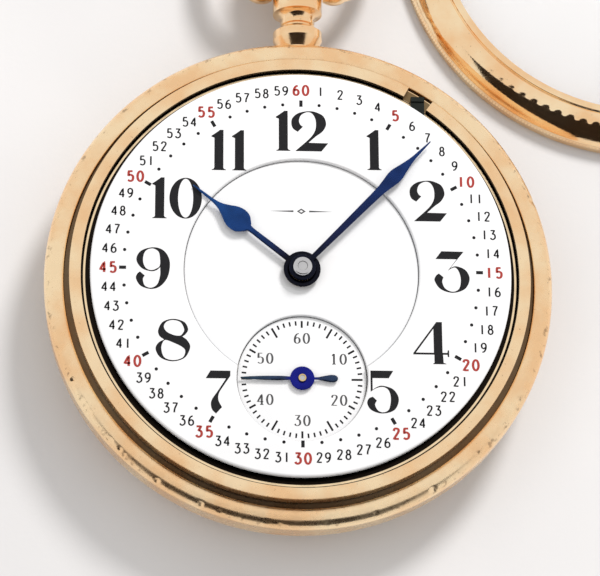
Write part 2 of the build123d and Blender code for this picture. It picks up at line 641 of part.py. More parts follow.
def sliding_clutch():
    body = disc(1.45, 13.3, 16.57) - (disc(2, 14.2, 15.2) - disc(1.0, 14, 15.4))
    front = disc(1.8, 13.1, 13.5)
    teeth = [Rot(0, 0, 30 * i) * (Pos(1.62, 0, 13.15) * Box(0.5, 0.26, 0.3)) for i in range(12)]
    body = body + front - teeth
    return along_stem(body - Pos(0, 0, 14.7) * Box(1.26, 1.26, 5))


def setting_lever():
    blade = slab(LEVER_X - LEVER_HALF, LEVER_X + LEVER_HALF, 11.2, 19.0, *LEVER_Z)
    lip = slab(LEVER_X - LEVER_HALF, LEVER_X + LEVER_HALF, 18.85, 19.35, LEVER_Z[0], LEVER_Z[1] + 0.2)
    return blade + lip - disc(0.35, 8, 11, (LEVER_X, 12.3))


def yoke():
    arm = bar(YOKE, (1.3, 14.75), 1.1, 8.0, 8.35)
    tail = bar(YOKE, (10.6, 14.2), 1.0, 8.0, 8.35)
    finger = slab(-0.35, 1.3, 14.45, 14.95, 6.85, 8.35)
    return arm + tail + finger - disc(0.5 + RUN, 7, 9, YOKE)


def click():
    line = direction(BARREL, CLICK)
    tip = polar(6.75, line + 0.42, BARREL)
    plate = bar(CLICK, tip, 1.1, 2.4, 2.85) + disc(1.1, 2.4, 2.85, CLICK)
    return plate - disc(0.5 + RUN, 2, 3, CLICK) - disc(6.3, 2, 3, BARREL)


def click_spring():
    line = direction(BARREL, CLICK)
    heel = polar(10.6, line + 0.12, BARREL)
    end = polar(7.9, line + 0.5, BARREL)
    wire = bar(heel, end, 0.3, 2.45, 2.8) + disc(0.5, 2.45, 3.0, heel)
    return wire


# ---------------------------------------------------------------- plates, bridges, jewels
def half_plane(normal, limit, z0, z1, below):
    """A block that covers p . normal under (or over) a limit."""
    side = -1 if below else 1
    centre = limit + side * 40
    block = Pos(centre, 0, (z0 + z1) / 2) * Box(80, 120, z1 - z0)
    return Rot(0, 0, degrees(atan2(normal[1], normal[0]))) * block


def pillar_plate():
    plate = disc(PLATE_R, PLATE_Z0, SHOULDER_Z) + disc(THREAD_IN_R - 0.1, SHOULDER_Z, PLATE_Z1)
    plate += slab(-1.7, 0.9, 11.2, 12.4, BRIDGE_Z1, PLATE_Z0)
    plate += slab(-3.0, 3.0, 17.75, 20.4, BRIDGE_Z1, PLATE_Z0)
    motion = disc(4.2, MOTION_FLOOR_Z, 9, CENTER) + disc(4.0, MOTION_FLOOR_Z, 9, MINUTE_WHEEL)
    motion += disc(2.9, 7.3, 9, SETTING_WHEEL)
    plate -= motion
    plate += disc(0.4, 7.5, 8.85, MINUTE_WHEEL) + disc(0.6, 7.2, 8.3, SETTING_WHEEL)
    plate -= slab(-2.15, 2.15, 12.4, 17.7, 4, 10)
    plate -= bar(YOKE, (1.3, 14.7), 2.4, MOTION_FLOOR_Z, 10) + bar(YOKE, (10.6, 14.2), 2.2, MOTION_FLOOR_Z, 10)
    plate += disc(0.5, 7.5, 8.45, YOKE)
    plate -= disc(8.5, 6, 7.4, BARREL) + disc(0.9 + RUN, 6, 8.3, BARREL)
    plate -= disc(0.7 + RUN, 6, 10)
    plate -= along_stem(disc(0.5 + RUN, 10.5, 12.6)) + along_stem(disc(0.82 + RUN, 17, 22))
    for at, r, top in ((THIRD, 0.14, 7.6), (FOURTH, 0.25, 10), (ESCAPE, 0.1, 7.6), (PALLET, 0.1, 7.6),
                       (BALANCE, 0.1, 7.6)):
        plate -= disc(r + RUN, 6, top, at)
    for a in FOOT_ANGLES:
        plate -= disc(0.65, 7.2, 10, polar(FOOT_RING_R, a))
    for a in (130, 310):
        plate -= disc(0.38, 6, 8.3, polar(21.3, radians(a)))
    for at in TRAIN_POSTS + BARREL_POSTS + [COCK_FOOT, PALLET_FOOT]:
        plate -= disc(0.43, 6, 8.1, at)
    return plate


def bridge_screw_hole(at, head_z):
    return disc(1.02, BRIDGE_Z0 - 2, head_z, at) + disc(0.43, BRIDGE_Z0 - 2, PLATE_Z0 + 1, at)


JEWEL_SEATS = [(CENTER, 0.45, 1.25), (THIRD, 0.12, 0.8), (FOURTH, 0.12, 0.8), (ESCAPE, 0.1, 0.75)]


def train_bridge():
    plate = disc(BRIDGE_R, BRIDGE_Z0, BRIDGE_Z1) & half_plane(BRIDGE_SPLIT, 2.0, 2, 5, True)
    plate -= disc(8.7, 2, 5, BALANCE)
    plate &= half_plane((0.891, 0.454), -11.3, 2, 5, False)
    plate -= disc(3.4, 2, 5, COCK_FOOT)
    for at in TRAIN_POSTS:
        plate += disc(POST_R, BRIDGE_Z0, PLATE_Z0, at)
    for at in TRAIN_POSTS:
        plate -= bridge_screw_hole(at, BRIDGE_Z0 + 0.5)
    for at, pivot, r in JEWEL_SEATS:
        plate -= disc(r + 0.02, 2, 3.32, at) + disc(pivot + 0.2, 2, 5, at)
    return plate


def barrel_bridge():
    plate = disc(BRIDGE_R, BRIDGE_Z0, BRIDGE_Z1) & half_plane(BRIDGE_SPLIT, 2.2, 2, 5, False)
    plate -= tube(CONTRATE_R[1] + 0.12, CONTRATE_R[0] - 0.12, 2, 4.0, CROWN_WHEEL)
    plate -= slab(-2.2, 2.2, 16.3, 17.7, 2, 5)
    plate -= slab(-1.95, 1.95, 12.3, 14.0, 3.8, 5)
    plate += disc(1.6, 2.35, 3.1, CROWN_WHEEL)
    plate -= disc(0.52, 2, 3.4, CROWN_WHEEL)
    for at in BARREL_POSTS:
        plate += disc(POST_R, BRIDGE_Z0, PLATE_Z0, at)
    for at in BARREL_POSTS:
        plate -= bridge_screw_hole(at, BRIDGE_Z0 + 0.5)
    plate += disc(0.5, 2.2, 3.1, CLICK)
    return plate - disc(1.25 + RUN, 2, 5, BARREL)


def balance_cock():
    table = disc(2.9, 1.75, 2.7, COCK_FOOT) + disc(2.3, 1.75, 2.7, BALANCE)
    arm = bar(COCK_FOOT, BALANCE, 3.6, 1.75, 2.7)
    foot = disc(2.7, 2.6, PLATE_Z0, COCK_FOOT) - disc(8.45, 2.7, 7, BALANCE)
    cock = table + arm + foot
    cock -= disc(1.02, 1, 2.25, COCK_FOOT) + disc(0.43, 1, 7, COCK_FOOT)
    return cock - disc(0.82, 1, 2.12, BALANCE) - disc(0.3, 1, 3, BALANCE)


def pallet_bridge():
    plate = bar(PALLET, PALLET_FOOT, 2.2, 4.75, 5.3) + disc(1.1, 4.75, PLATE_Z0, PALLET_FOOT)
    plate -= disc(1.02, 4, 5.0, PALLET_FOOT) + disc(0.43, 4, 7, PALLET_FOOT)
    return plate - disc(0.62, 4, 5.07, PALLET) - disc(0.3, 4, 6, PALLET)


def jewels():
    solids = [tube(r, pivot + RUN, BRIDGE_Z0, 3.3, at) for at, pivot, r in JEWEL_SEATS]
    solids.append(tube(0.6, 0.1 + RUN, 4.77, 5.05, PALLET))
    solids.append(tube(0.8, 0.1 + RUN, 1.8, 2.1, BALANCE))
    return Compound(children=solids)


def plate_screws():
    solids = []
    for i, at in enumerate(TRAIN_POSTS + BARREL_POSTS):
        solids.append(screw(at, 1.0, BRIDGE_Z0, BRIDGE_Z0 + 0.48, 0.4, 8.0, 0.5 + 0.7 * i))
    solids.append(screw(COCK_FOOT, 1.0, 1.76, 2.23, 0.4, 8.0, 0.9))
    solids.append(screw(PALLET_FOOT, 1.0, 4.6, 4.98, 0.4, 8.0, 2.1))
    return Compound(children=solids)


def regulator():
    ring = tube(1.6, 1.0, 1.4, 1.72, BALANCE)
    pointing = direction(BALANCE, COCK_FOOT) - radians(38)
    arm = bar(polar(1.5, pointing, BALANCE), polar(6.2, pointing, BALANCE), 0.45, 1.4, 1.72)
    return ring + arm


# ---------------------------------------------------------------- build
def build():
    middle = case_center()
    parts = {
        "case_center": middle,
        "pendant": pendant(middle),
        "pendant_sleeve": pendant_sleeve(),
        "case_back": case_back(),
        "case_screws": case_screws(),
        "bow": bow(),
        "crown": crown(),
        "crown_core": crown_core(),
        "winding_stem": winding_stem(),
        "bezel": bezel(),
        "crystal": crystal(),
        "dial_ring": dial_ring(),
        "dial_center": dial_center(),
        "dial_seconds": dial_seconds(),
        "dial_feet": dial_feet(),
        "hour_hand": hour_hand(),
        "minute_hand": minute_hand(),
        "seconds_hand": seconds_hand(),
        "cannon_pinion": cannon_pinion(),
        "hour_wheel": hour_wheel(),
        "minute_wheel": minute_wheel(),
        "minute_pinion": minute_pinion(),
        "setting_wheel": setting_wheel(),
        "center_wheel": center_wheel(),
        "center_arbor": center_arbor(),
        "third_wheel": third_wheel(),
        "third_arbor": third_arbor(),
        "fourth_wheel": fourth_wheel(),
        "fourth_arbor": fourth_arbor(),
        "escape_wheel": escape_wheel(),
        "escape_arbor": escape_arbor(),
        "pallet_fork": pallet_fork(),
        "pallet_jewels": pallet_jewels(),
        "balance_wheel": balance_wheel(),
        "balance_screws": balance_screws(),
        "balance_staff": balance_staff(),
        "hairspring": hairspring(),
        "barrel": barrel(),
        "barrel_cover": barrel_cover(),
        "mainspring": mainspring(),
        "barrel_arbor": barrel_arbor(),
        "ratchet_wheel": ratchet_wheel(),
        "ratchet_screw": ratchet_screw(),
        "crown_wheel": crown_wheel(),
        "crown_wheel_cap": crown_wheel_cap(),
        "winding_pinion": winding_pinion(),
        "sliding_clutch": sliding_clutch(),
        "setting_lever": setting_lever(),
        "yoke": yoke(),
        "click": click(),
        "click_spring": click_spring(),
        "pillar_plate": pillar_plate(),
        "train_bridge": train_bridge(),
        "barrel_bridge": barrel_bridge(),
        "balance_cock": balance_cock(),
        "pallet_bridge": pallet_bridge(),
        "jewels": jewels(),
        "plate_screws": plate_screws(),
        "regulator": regulator(),
    }
    os.makedirs("parts", exist_ok=True)
    for name, shape in parts.items():
        export_step(shape, f"parts/{name}.step")
    print(len(parts), "nodes")


build()
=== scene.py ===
"""Looks for the open-face pocket watch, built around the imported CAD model.

Blender works in metres; outlines and materials here are in millimetres and are scaled once, by MM.
+Z goes up from the dial, +Y to twelve o'clock, and a clock angle runs clockwise from twelve.
"""
import random
from math import acos, atan2, cos, hypot, pi, radians, sin

import bmesh
import bpy
from mathutils import Matrix, Vector
from mathutils.geometry import tessellate_polygon


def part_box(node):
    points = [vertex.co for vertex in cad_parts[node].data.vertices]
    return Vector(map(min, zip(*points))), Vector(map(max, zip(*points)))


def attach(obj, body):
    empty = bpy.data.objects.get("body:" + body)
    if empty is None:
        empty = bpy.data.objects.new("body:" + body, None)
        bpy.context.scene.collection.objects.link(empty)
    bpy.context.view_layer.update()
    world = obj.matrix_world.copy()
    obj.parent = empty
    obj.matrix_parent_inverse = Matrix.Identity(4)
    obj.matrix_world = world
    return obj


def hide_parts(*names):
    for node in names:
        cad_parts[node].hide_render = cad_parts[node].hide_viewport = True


MM = 0.001
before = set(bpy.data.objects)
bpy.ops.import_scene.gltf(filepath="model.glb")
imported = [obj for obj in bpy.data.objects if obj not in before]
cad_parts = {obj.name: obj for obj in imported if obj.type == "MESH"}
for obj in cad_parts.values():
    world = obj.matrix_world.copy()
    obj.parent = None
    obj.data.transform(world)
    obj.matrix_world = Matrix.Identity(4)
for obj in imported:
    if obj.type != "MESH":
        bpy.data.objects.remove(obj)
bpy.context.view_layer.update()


def cad_corner(node):
    """A node's lowest and highest corners, in millimetres."""
    low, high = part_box(node)
    return low / MM, high / MM


# ---------------------------------------------------------------- driving dimensions, from the frame
case_high = cad_corner("case_center")[1]
ring_low, ring_high = cad_corner("dial_ring")
middle_low, middle_high = cad_corner("dial_center")
sub_low, sub_high = cad_corner("dial_seconds")
hour_low, hour_high = cad_corner("hour_hand")
minute_low, minute_high = cad_corner("minute_hand")
seconds_low, seconds_high = cad_corner("seconds_hand")
bezel_low, bezel_high = cad_corner("bezel")
crystal_low, crystal_high = cad_corner("crystal")

CASE_R = case_high.x
THREAD_TOP = case_high.z
DIAL_R = ring_high.x
DIAL_Z = ring_high.z
MIDDLE_Z = middle_high.z
SUB_Z = sub_high.z
MIDDLE_R = 11.9
SUB_R = 6.54
SUB_AT = ((sub_low.x + sub_high.x) / 2, (sub_low.y + sub_high.y) / 2)
BEZEL_AT = ((bezel_low.x + bezel_high.x) / 2, (bezel_low.y + bezel_high.y) / 2)
BEZEL_H = bezel_high.z
CRYSTAL_R = (crystal_high.x - crystal_low.x) / 2
GLASS_TOP = crystal_high.z

RIM_IN_R = 24.0          # the case ring's turned outline, from outside to inside
RIM_TOP = 8.0
GROOVE_Z = 7.3
THREAD_R = 23.4
THREAD_ROOT_R = 23.25
THREAD_IN_R = 22.2
SHOULDER_R = 21.9
SHOULDER_Z = 8.4
LEDGE_Z = 6.6
CAVITY_R = 22.7
BACK_THREAD_R = 23.6
BACK_R = 25.5
WALL_LOW = 5.1           # the upright side wall
CREASE_R = 25.6          # where the rim turns over into the wall, and wear shows

HOUR_ANGLE = 308.6
MINUTE_ANGLE = 43.8
SECONDS_ANGLE = 270.0
SECONDS_BLADE_Z = (10.02, 10.14)      # under its socket's top

TURN_STEPS = 900         # round the case and the bezel
PRINT_LIFT = 0.012       # thickness of the dial print
CORNER = True


# ---------------------------------------------------------------- outlines
def arc(center, r, start, end, steps):
    """Points on an arc, from start to end degrees."""
    points = []
    for i in range(steps + 1):
        a = radians(start + (end - start) * i / steps)
        points.append((center[0] + r * cos(a), center[1] + r * sin(a)))
    return points


def polar(r, a, at=(0, 0)):
    return (at[0] + r * cos(a), at[1] + r * sin(a))


def clock(r, angle, at=(0, 0)):
    """The point at a clock angle in degrees."""
    return (at[0] + r * sin(radians(angle)), at[1] + r * cos(radians(angle)))


def softened(points, radius, steps=3):
    """A closed outline with its sharp corners rounded off by about radius."""
    result = []
    count = len(points)
    for i in range(count):
        before, here, after = (Vector(points[(i + k) % count]) for k in (-1, 0, 1))
        to_before = before - here
        to_after = after - here
        turn = pi - to_before.angle(to_after, pi)
        if turn < radians(25):
            result.append(tuple(here))
            continue
        cut = min(radius, 0.4 * to_before.length, 0.4 * to_after.length)
        start = here + to_before.normalized() * cut
        end = here + to_after.normalized() * cut
        for k in range(steps + 1):
            t = k / steps
            result.append(tuple(start * (1 - t) ** 2 + here * 2 * t * (1 - t) + end * t ** 2))
    return result


def divided(points, longest):
    """A closed outline with its long straight stretches divided."""
    result = []
    for i, (x0, y0) in enumerate(points):
        x1, y1 = points[(i + 1) % len(points)]
        parts = max(1, int(hypot(x1 - x0, y1 - y0) / longest))
        result += [(x0 + (x1 - x0) * k / parts, y0 + (y1 - y0) * k / parts) for k in range(parts)]
    return result


def flowing(points, steps, closed=False):
    """A smooth line through points. A point with a third entry, CORNER, stays a corner."""
    count = len(points)
    spans = count if closed else count - 1
    result = []

    def place(i):
        i = i % count if closed else min(max(i, 0), count - 1)
        return Vector(points[i][:2]), len(points[i]) > 2

    for i in range(spans):
        (p0, _), (p1, corner1), (p2, corner2), (p3, _) = place(i - 1), place(i), place(i + 1), place(i + 2)
        m1 = (p2 - p1) if corner1 else (p2 - p0) / 2
        m2 = (p2 - p1) if corner2 else (p3 - p1) / 2
        for k in range(steps):
            t = k / steps
            h1, h2 = 2 * t ** 3 - 3 * t ** 2 + 1, t ** 3 - 2 * t ** 2 + t
            h3, h4 = -2 * t ** 3 + 3 * t ** 2, t ** 3 - t ** 2
            result.append(tuple(p1 * h1 + m1 * h2 + p2 * h3 + m2 * h4))
    if not closed:
        result.append(tuple(points[-1][:2]))
    return result


# ---------------------------------------------------------------- meshes
class Shape:
    """The points and faces of one piece, in millimetres."""

    def __init__(self):
        self.points = []
        self.faces = []

    def add(self, points, faces):
        base = len(self.points)
        self.points += [tuple(p) for p in points]
        self.faces += [tuple(base + i for i in face) for face in faces]

    def loops(self, rows, closed_rows=False, capped=False):
        """Joins rows of points, each a closed loop of the same length."""
        size = len(rows[0])
        points = [p for row in rows for p in row]
        faces = []
        for j in range(len(rows) if closed_rows else len(rows) - 1):
            k = (j + 1) % len(rows)
            for i in range(size):
                n = (i + 1) % size
                faces.append((j * size + i, j * size + n, k * size + n, k * size + i))
        if capped:
            faces.append(tuple(range(size))[::-1])
            faces.append(tuple((len(rows) - 1) * size + i for i in range(size)))
        self.add(points, faces)


def piece(name, shape, body, material, replaces=(), sharp=32):
    """Makes a shape into a Blender object that rides on a body."""
    mesh = bpy.data.meshes.new(name)
    mesh.from_pydata([tuple(v * MM for v in p) for p in shape.points], [], shape.faces)
    work = bmesh.new()
    work.from_mesh(mesh)
    bmesh.ops.remove_doubles(work, verts=work.verts, dist=1e-8)
    bmesh.ops.recalc_face_normals(work, faces=work.faces)
    work.to_mesh(mesh)
    work.free()
    mesh.polygons.foreach_set("use_smooth", [True] * len(mesh.polygons))
    mesh.set_sharp_from_angle(angle=radians(sharp))
    obj = bpy.data.objects.new(name, mesh)
    bpy.context.scene.collection.objects.link(obj)
    mesh.materials.append(material)
    return dressed(obj, body, replaces)


def dressed(obj, body, replaces=()):
    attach(obj, body)
    if replaces:
        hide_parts(*replaces)
    return obj


def turned(shape, outline, at=(0, 0), steps=TURN_STEPS, formed=None, angles=None):
    """Adds a closed (radius, height) outline turned about a vertical line."""
    angles = angles or [2 * pi * i / steps for i in range(steps)]
    rows = []
    for a in angles:
        row = []
        for r, z in outline:
            if formed:
                r, z = formed(r, z, a)
            x, y = polar(r, a, at)
            row.append((x, y, z))
        rows.append(row)
    shape.loops(rows, closed_rows=True)


def plate(shape, borders, z0, z1, roll, steps=5):
    """Adds a flat plate with rolled upper edges. A border gives its loop at a distance into the plate."""
    for border in borders:
        rows = [[(x, y, z0) for x, y in border(0)]]
        for k in range(steps + 1):
            t = pi / 2 * k / steps
            rows.append([(x, y, z1 - roll * (1 - sin(t))) for x, y in border(roll * (1 - cos(t)))])
        shape.loops(rows)
    for z, inset in ((z0, 0), (z1, roll)):
        loops = [[Vector((x, y, z)) for x, y in border(inset)] for border in borders]
        flat = [p for loop in loops for p in loop]
        shape.add(flat, tessellate_polygon(loops))


# ---------------------------------------------------------------- shader helpers
class Look:
    """A Principled material whose texture space is in millimetres."""

    def __init__(self, name, **sockets):
        self.material = bpy.data.materials.new(name)
        self.material.use_nodes = True
        self.tree = self.material.node_tree
        self.shader = self.tree.nodes["Principled BSDF"]
        for key, value in sockets.items():
            self.shader.inputs[key.replace("_", " ")].default_value = value
        coords = self.tree.nodes.new("ShaderNodeTexCoord")
        scale = self.add("ShaderNodeVectorMath", operation="SCALE")
        scale.inputs["Scale"].default_value = 1 / MM
        self.link(coords.outputs["Object"], scale.inputs[0])
        self.place = scale.outputs[0]

    def add(self, kind, **settings):
        node = self.tree.nodes.new(kind)
        for key, value in settings.items():
            setattr(node, key, value)
        return node

    def link(self, output, socket):
        self.tree.links.new(output, socket)

    def feed(self, socket, value):
        if isinstance(value, (int, float, tuple)):
            socket.default_value = value
        else:
            self.link(value, socket)

    def math(self, operation, a, b=0.0, clamp=False):
        node = self.add("ShaderNodeMath", operation=operation, use_clamp=clamp)
        self.feed(node.inputs[0], a)
        self.feed(node.inputs[1], b)
        return node.outputs[0]

    def stretched(self, x, y, z):
        node = self.add("ShaderNodeVectorMath", operation="MULTIPLY")
        self.link(self.place, node.inputs[0])
        node.inputs[1].default_value = (x, y, z)
        return node.outputs[0]

    def noise(self, scale, detail=3.0, place=None):
        node = self.add("ShaderNodeTexNoise")
        self.link(place or self.place, node.inputs["Vector"])
        node.inputs["Scale"].default_value = scale
        node.inputs["Detail"].default_value = detail
        return node.outputs[0]

    def ramp(self, value, *stops):
        """Maps a number through (position, number or colour) stops."""
        node = self.add("ShaderNodeValToRGB")
        self.link(value, node.inputs[0])
        elements = node.color_ramp.elements
        while len(elements) < len(stops):
            elements.new(0.5)
        for element, (position, color) in zip(elements, stops):
            element.position = position
            element.color = (color, color, color, 1) if isinstance(color, (int, float)) else (*color, 1)
        return node.outputs[0]

    def mix(self, amount, a, b):
        node = self.add("ShaderNodeMix", data_type="RGBA")
        self.feed(node.inputs[0], amount)
        self.feed(node.inputs[6], a if not isinstance(a, tuple) else (*a, 1))
        self.feed(node.inputs[7], b if not isinstance(b, tuple) else (*b, 1))
        return node.outputs[2]

    def radius(self, at=(0, 0)):
        """Distance from a vertical line."""
        moved = self.add("ShaderNodeVectorMath", operation="SUBTRACT")
        self.link(self.place, moved.inputs[0])
        moved.inputs[1].default_value = (at[0], at[1], 0)
        flat = self.add("ShaderNodeVectorMath", operation="MULTIPLY")
        self.link(moved.outputs[0], flat.inputs[0])
        flat.inputs[1].default_value = (1, 1, 0)
        length = self.add("ShaderNodeVectorMath", operation="LENGTH")
        self.link(flat.outputs[0], length.inputs[0])
        return length.outputs["Value"]

    def height(self):
        """Height above the table."""
        parts = self.add("ShaderNodeSeparateXYZ")
        self.link(self.place, parts.inputs[0])
        return parts.outputs[2]

    def band(self, value, low, high, edge):
        """One between low and high, falling to zero over edge."""
        rise = self.add("ShaderNodeMapRange", interpolation_type="SMOOTHSTEP")
        fall = self.add("ShaderNodeMapRange", interpolation_type="SMOOTHSTEP")
        for node, start, end in ((rise, low - edge, low), (fall, high + edge, high)):
            self.link(value, node.inputs["Value"])
            node.inputs["From Min"].default_value = start
            node.inputs["From Max"].default_value = end
        return self.math("MULTIPLY", rise.outputs[0], fall.outputs[0])

    def finish(self, color=None, roughness=None, height=None, relief=0.01):
        """Links colour, roughness and bump, whose relief is in millimetres."""
        if color is not None:
            self.link(color, self.shader.inputs["Base Color"])
        if roughness is not None:
            self.link(roughness, self.shader.inputs["Roughness"])
        if height is not None:
            bump = self.add("ShaderNodeBump")
            bump.inputs["Strength"].default_value = 1.0
            bump.inputs["Distance"].default_value = relief * MM
            self.link(height, bump.inputs["Height"])
            self.link(bump.outputs[0], self.shader.inputs["Normal"])
        return self.material


# ---------------------------------------------------------------- materials
PEACH_GOLD = (0.95, 0.62, 0.34)
CREAM_GOLD = (1.0, 0.78, 0.50)
TARNISH = (0.11, 0.055, 0.03)
# Near black, used as painted shade in the gap round the dial.
PAINTED_SHADE_BLACK = (0.012, 0.009, 0.007)


def gold_base(look):
    """Soft clouds of two golds, with fine freckles of tarnish."""
    clouds = look.noise(0.22, 4.0)
    gold = look.mix(look.ramp(clouds, (0.38, 0.0), (0.62, 1.0)), PEACH_GOLD, CREAM_GOLD)
    freckles = look.ramp(look.noise(3.1, 5.0), (0.68, 0.0), (0.76, 1.0))
    return look.mix(look.math("MULTIPLY", freckles, 0.45), gold, TARNISH)


def gold_wear(look):
    """Fine hair scratches and handling marks."""
    lengthways = look.noise(9.0, 2.0, look.stretched(1.0, 0.06, 1.0))
    crossways = look.noise(9.0, 2.0, look.stretched(0.06, 1.0, 1.0))
    hairs = look.math("ADD", lengthways, crossways)
    return look.math("ADD", hairs, look.noise(1.1, 4.0))


def worn_gold():
    look = Look("worn_gold", Metallic=1.0)
    roughness = look.ramp(look.noise(0.9, 5.0), (0.3, 0.13), (0.7, 0.24))
    return look.finish(gold_base(look), roughness, gold_wear(look), 0.0016)


def case_ring_gold():
    """Worn gold: rubbed dark along the rim's outer crease, with painted shade in the groove, in the setting-lever
    notch and down inside by the dial.
    """
    look = Look("case_ring_gold", Metallic=1.0)
    r = look.radius()
    z = look.height()
    at_crease = look.band(r, CREASE_R - 0.15, CREASE_R + 0.15, 0.2)
    crease = look.math("MULTIPLY", at_crease, look.band(z, 7.1, 8.2, 0.2))
    specks = look.ramp(look.noise(1.6, 6.0), (0.57, 0.0), (0.68, 1.0))
    worn = look.math("MULTIPLY", look.math("MULTIPLY", crease, specks), 0.5)
    color = look.mix(worn, gold_base(look), TARNISH)
    # Painted shade: the groove between the rim and the thread ring is painted deep brown.
    at_groove = look.band(r, THREAD_ROOT_R - 0.15, RIM_IN_R - 0.03, 0.06)
    groove = look.math("MULTIPLY", at_groove, look.band(z, 6.0, 7.75, 0.2))
    color = look.mix(look.math("MULTIPLY", groove, 0.88), color, (0.045, 0.022, 0.01))
    # Painted shade: down inside, between the dial's edge and the thread ring, is painted near black.
    inside = look.band(r, SHOULDER_R - 0.9, THREAD_IN_R + 0.015, 0.01)
    color = look.mix(look.math("MULTIPLY", inside, 0.93), color, PAINTED_SHADE_BLACK)
    # Painted shade: the setting-lever notch, below the thread ring's top, is painted dark brown.
    in_ring = look.band(r, THREAD_IN_R + 0.06, THREAD_R - 0.08, 0.02)
    notch = look.math("MULTIPLY", in_ring, look.band(z, 8.0, 9.5, 0.05))
    color = look.mix(look.math("MULTIPLY", notch, 0.85), color, (0.10, 0.06, 0.02))
    roughness = look.ramp(look.noise(0.9, 5.0), (0.3, 0.22), (0.7, 0.34))
    return look.finish(color, roughness, gold_wear(look), 0.003)


def bezel_gold():
    """The bezel is less worn than the case, so it is brighter."""
    look = Look("bezel_gold", Metallic=1.0)
    roughness = look.ramp(look.noise(0.7, 5.0), (0.3, 0.05), (0.7, 0.12))
    return look.finish(gold_base(look), roughness, gold_wear(look), 0.002)


def white_enamel():
    look = Look("white_enamel", Roughness=0.09, Coat_Weight=0.6, Coat_Roughness=0.03)
    tint = look.ramp(look.noise(0.12, 3.0), (0.35, (0.69, 0.70, 0.715)), (0.65, (0.725, 0.725, 0.735)))
    return look.finish(tint, None, look.noise(0.5, 2.0), 0.004)


def print_ink(name, color, dark):
    look = Look(name, Roughness=0.5, Specular_IOR_Level=0.2)
    return look.finish(look.mix(look.noise(4.0, 3.0), color, dark), None, look.noise(12.0, 2.0), 0.002)


def blued_steel():
    """Heat-blued steel drifts between navy and bright blue."""
    look = Look("blued_steel", Metallic=0.85)
    drift = look.ramp(look.noise(0.35, 2.0), (0.38, (0.010, 0.028, 0.12)), (0.62, (0.02, 0.075, 0.30)))
    grain = look.noise(14.0, 2.0)
    roughness = look.ramp(grain, (0.3, 0.16), (0.7, 0.27))
    return look.finish(drift, roughness, grain, 0.001)


def blued_hand(name, at, *stops):
    """Heat-blued steel whose tint runs through (distance from the hub, colour) stops."""
    look = Look(name, Metallic=0.85)
    reach = stops[-1][0]
    along = look.math("MULTIPLY", look.radius(at), 1 / reach)
    tint = look.ramp(along, *[(r / reach, color) for r, color in stops])
    drift = look.ramp(look.noise(0.8, 2.0), (0.35, 0.75), (0.65, 1.0))
    shade = look.add("ShaderNodeMix", data_type="RGBA", blend_type="MULTIPLY")
    shade.inputs[0].default_value = 1.0
    look.link(tint, shade.inputs[6])
    look.link(drift, shade.inputs[7])
    grain = look.noise(14.0, 2.0)
    roughness = look.ramp(grain, (0.3, 0.2), (0.7, 0.32))
    return look.finish(shade.outputs[2], roughness, grain, 0.001)


def metal(name, color, shade, rough, relief=0.0012, grain=6.0):
    """A plain metal with a fine grain and a slow change of shade."""
    look = Look(name, Metallic=1.0)
    tint = look.mix(look.noise(0.6, 4.0), color, shade)
    roughness = look.ramp(look.noise(grain, 3.0), (0.3, rough[0]), (0.7, rough[1]))
    return look.finish(tint, roughness, look.noise(grain * 2, 2.0), relief)


def striped_nickel():
    """Nickel plates with broad curved stripes of fine grain, painted near black as shade where they show in the
    gap round the dial, with a thin gold line there.
    """
    look = Look("striped_nickel", Metallic=1.0)
    r = look.radius((34, 26))
    stripe = look.math("SINE", look.math("MULTIPLY", r, 2 * pi / 1.9))
    shade = look.math("MULTIPLY_ADD", stripe, 0.5)
    shade.node.inputs[2].default_value = 0.5
    tint = look.mix(shade, (0.50, 0.48, 0.44), (0.78, 0.76, 0.71))
    from_middle = look.radius()
    # Painted shade: the plate seen in the gap between the dial and the case ring is painted near black.
    tint = look.mix(look.band(from_middle, 21.05, 23.0, 0.1), tint, PAINTED_SHADE_BLACK)
    tint = look.mix(look.band(from_middle, 21.82, 22.0, 0.03), tint, CREAM_GOLD)
    fine = look.math("SINE", look.math("MULTIPLY", r, 2 * pi / 0.16))
    roughness = look.ramp(shade, (0.0, 0.30), (1.0, 0.16))
    return look.finish(tint, roughness, fine, 0.0012)


def ruby():
    look = Look("ruby", Roughness=0.05, Transmission_Weight=0.55, IOR=1.76)
    return look.finish(look.mix(look.noise(2.0), (0.55, 0.02, 0.07), (0.75, 0.05, 0.16)), None)


def watch_glass():
    """Clear glass: only its gloss and its edge show."""
    look = Look("watch_glass", Roughness=0.02, IOR=1.5)
    weight = look.add("ShaderNodeLayerWeight")
    weight.inputs[0].default_value = 0.35
    alpha = look.ramp(weight.outputs["Facing"], (0.0, 0.04), (0.75, 0.16), (1.0, 0.55))
    look.link(alpha, look.shader.inputs["Alpha"])
    tint = look.mix(look.noise(0.3), (0.90, 0.93, 0.94), (0.95, 0.96, 0.97))
    return look.finish(tint, None)


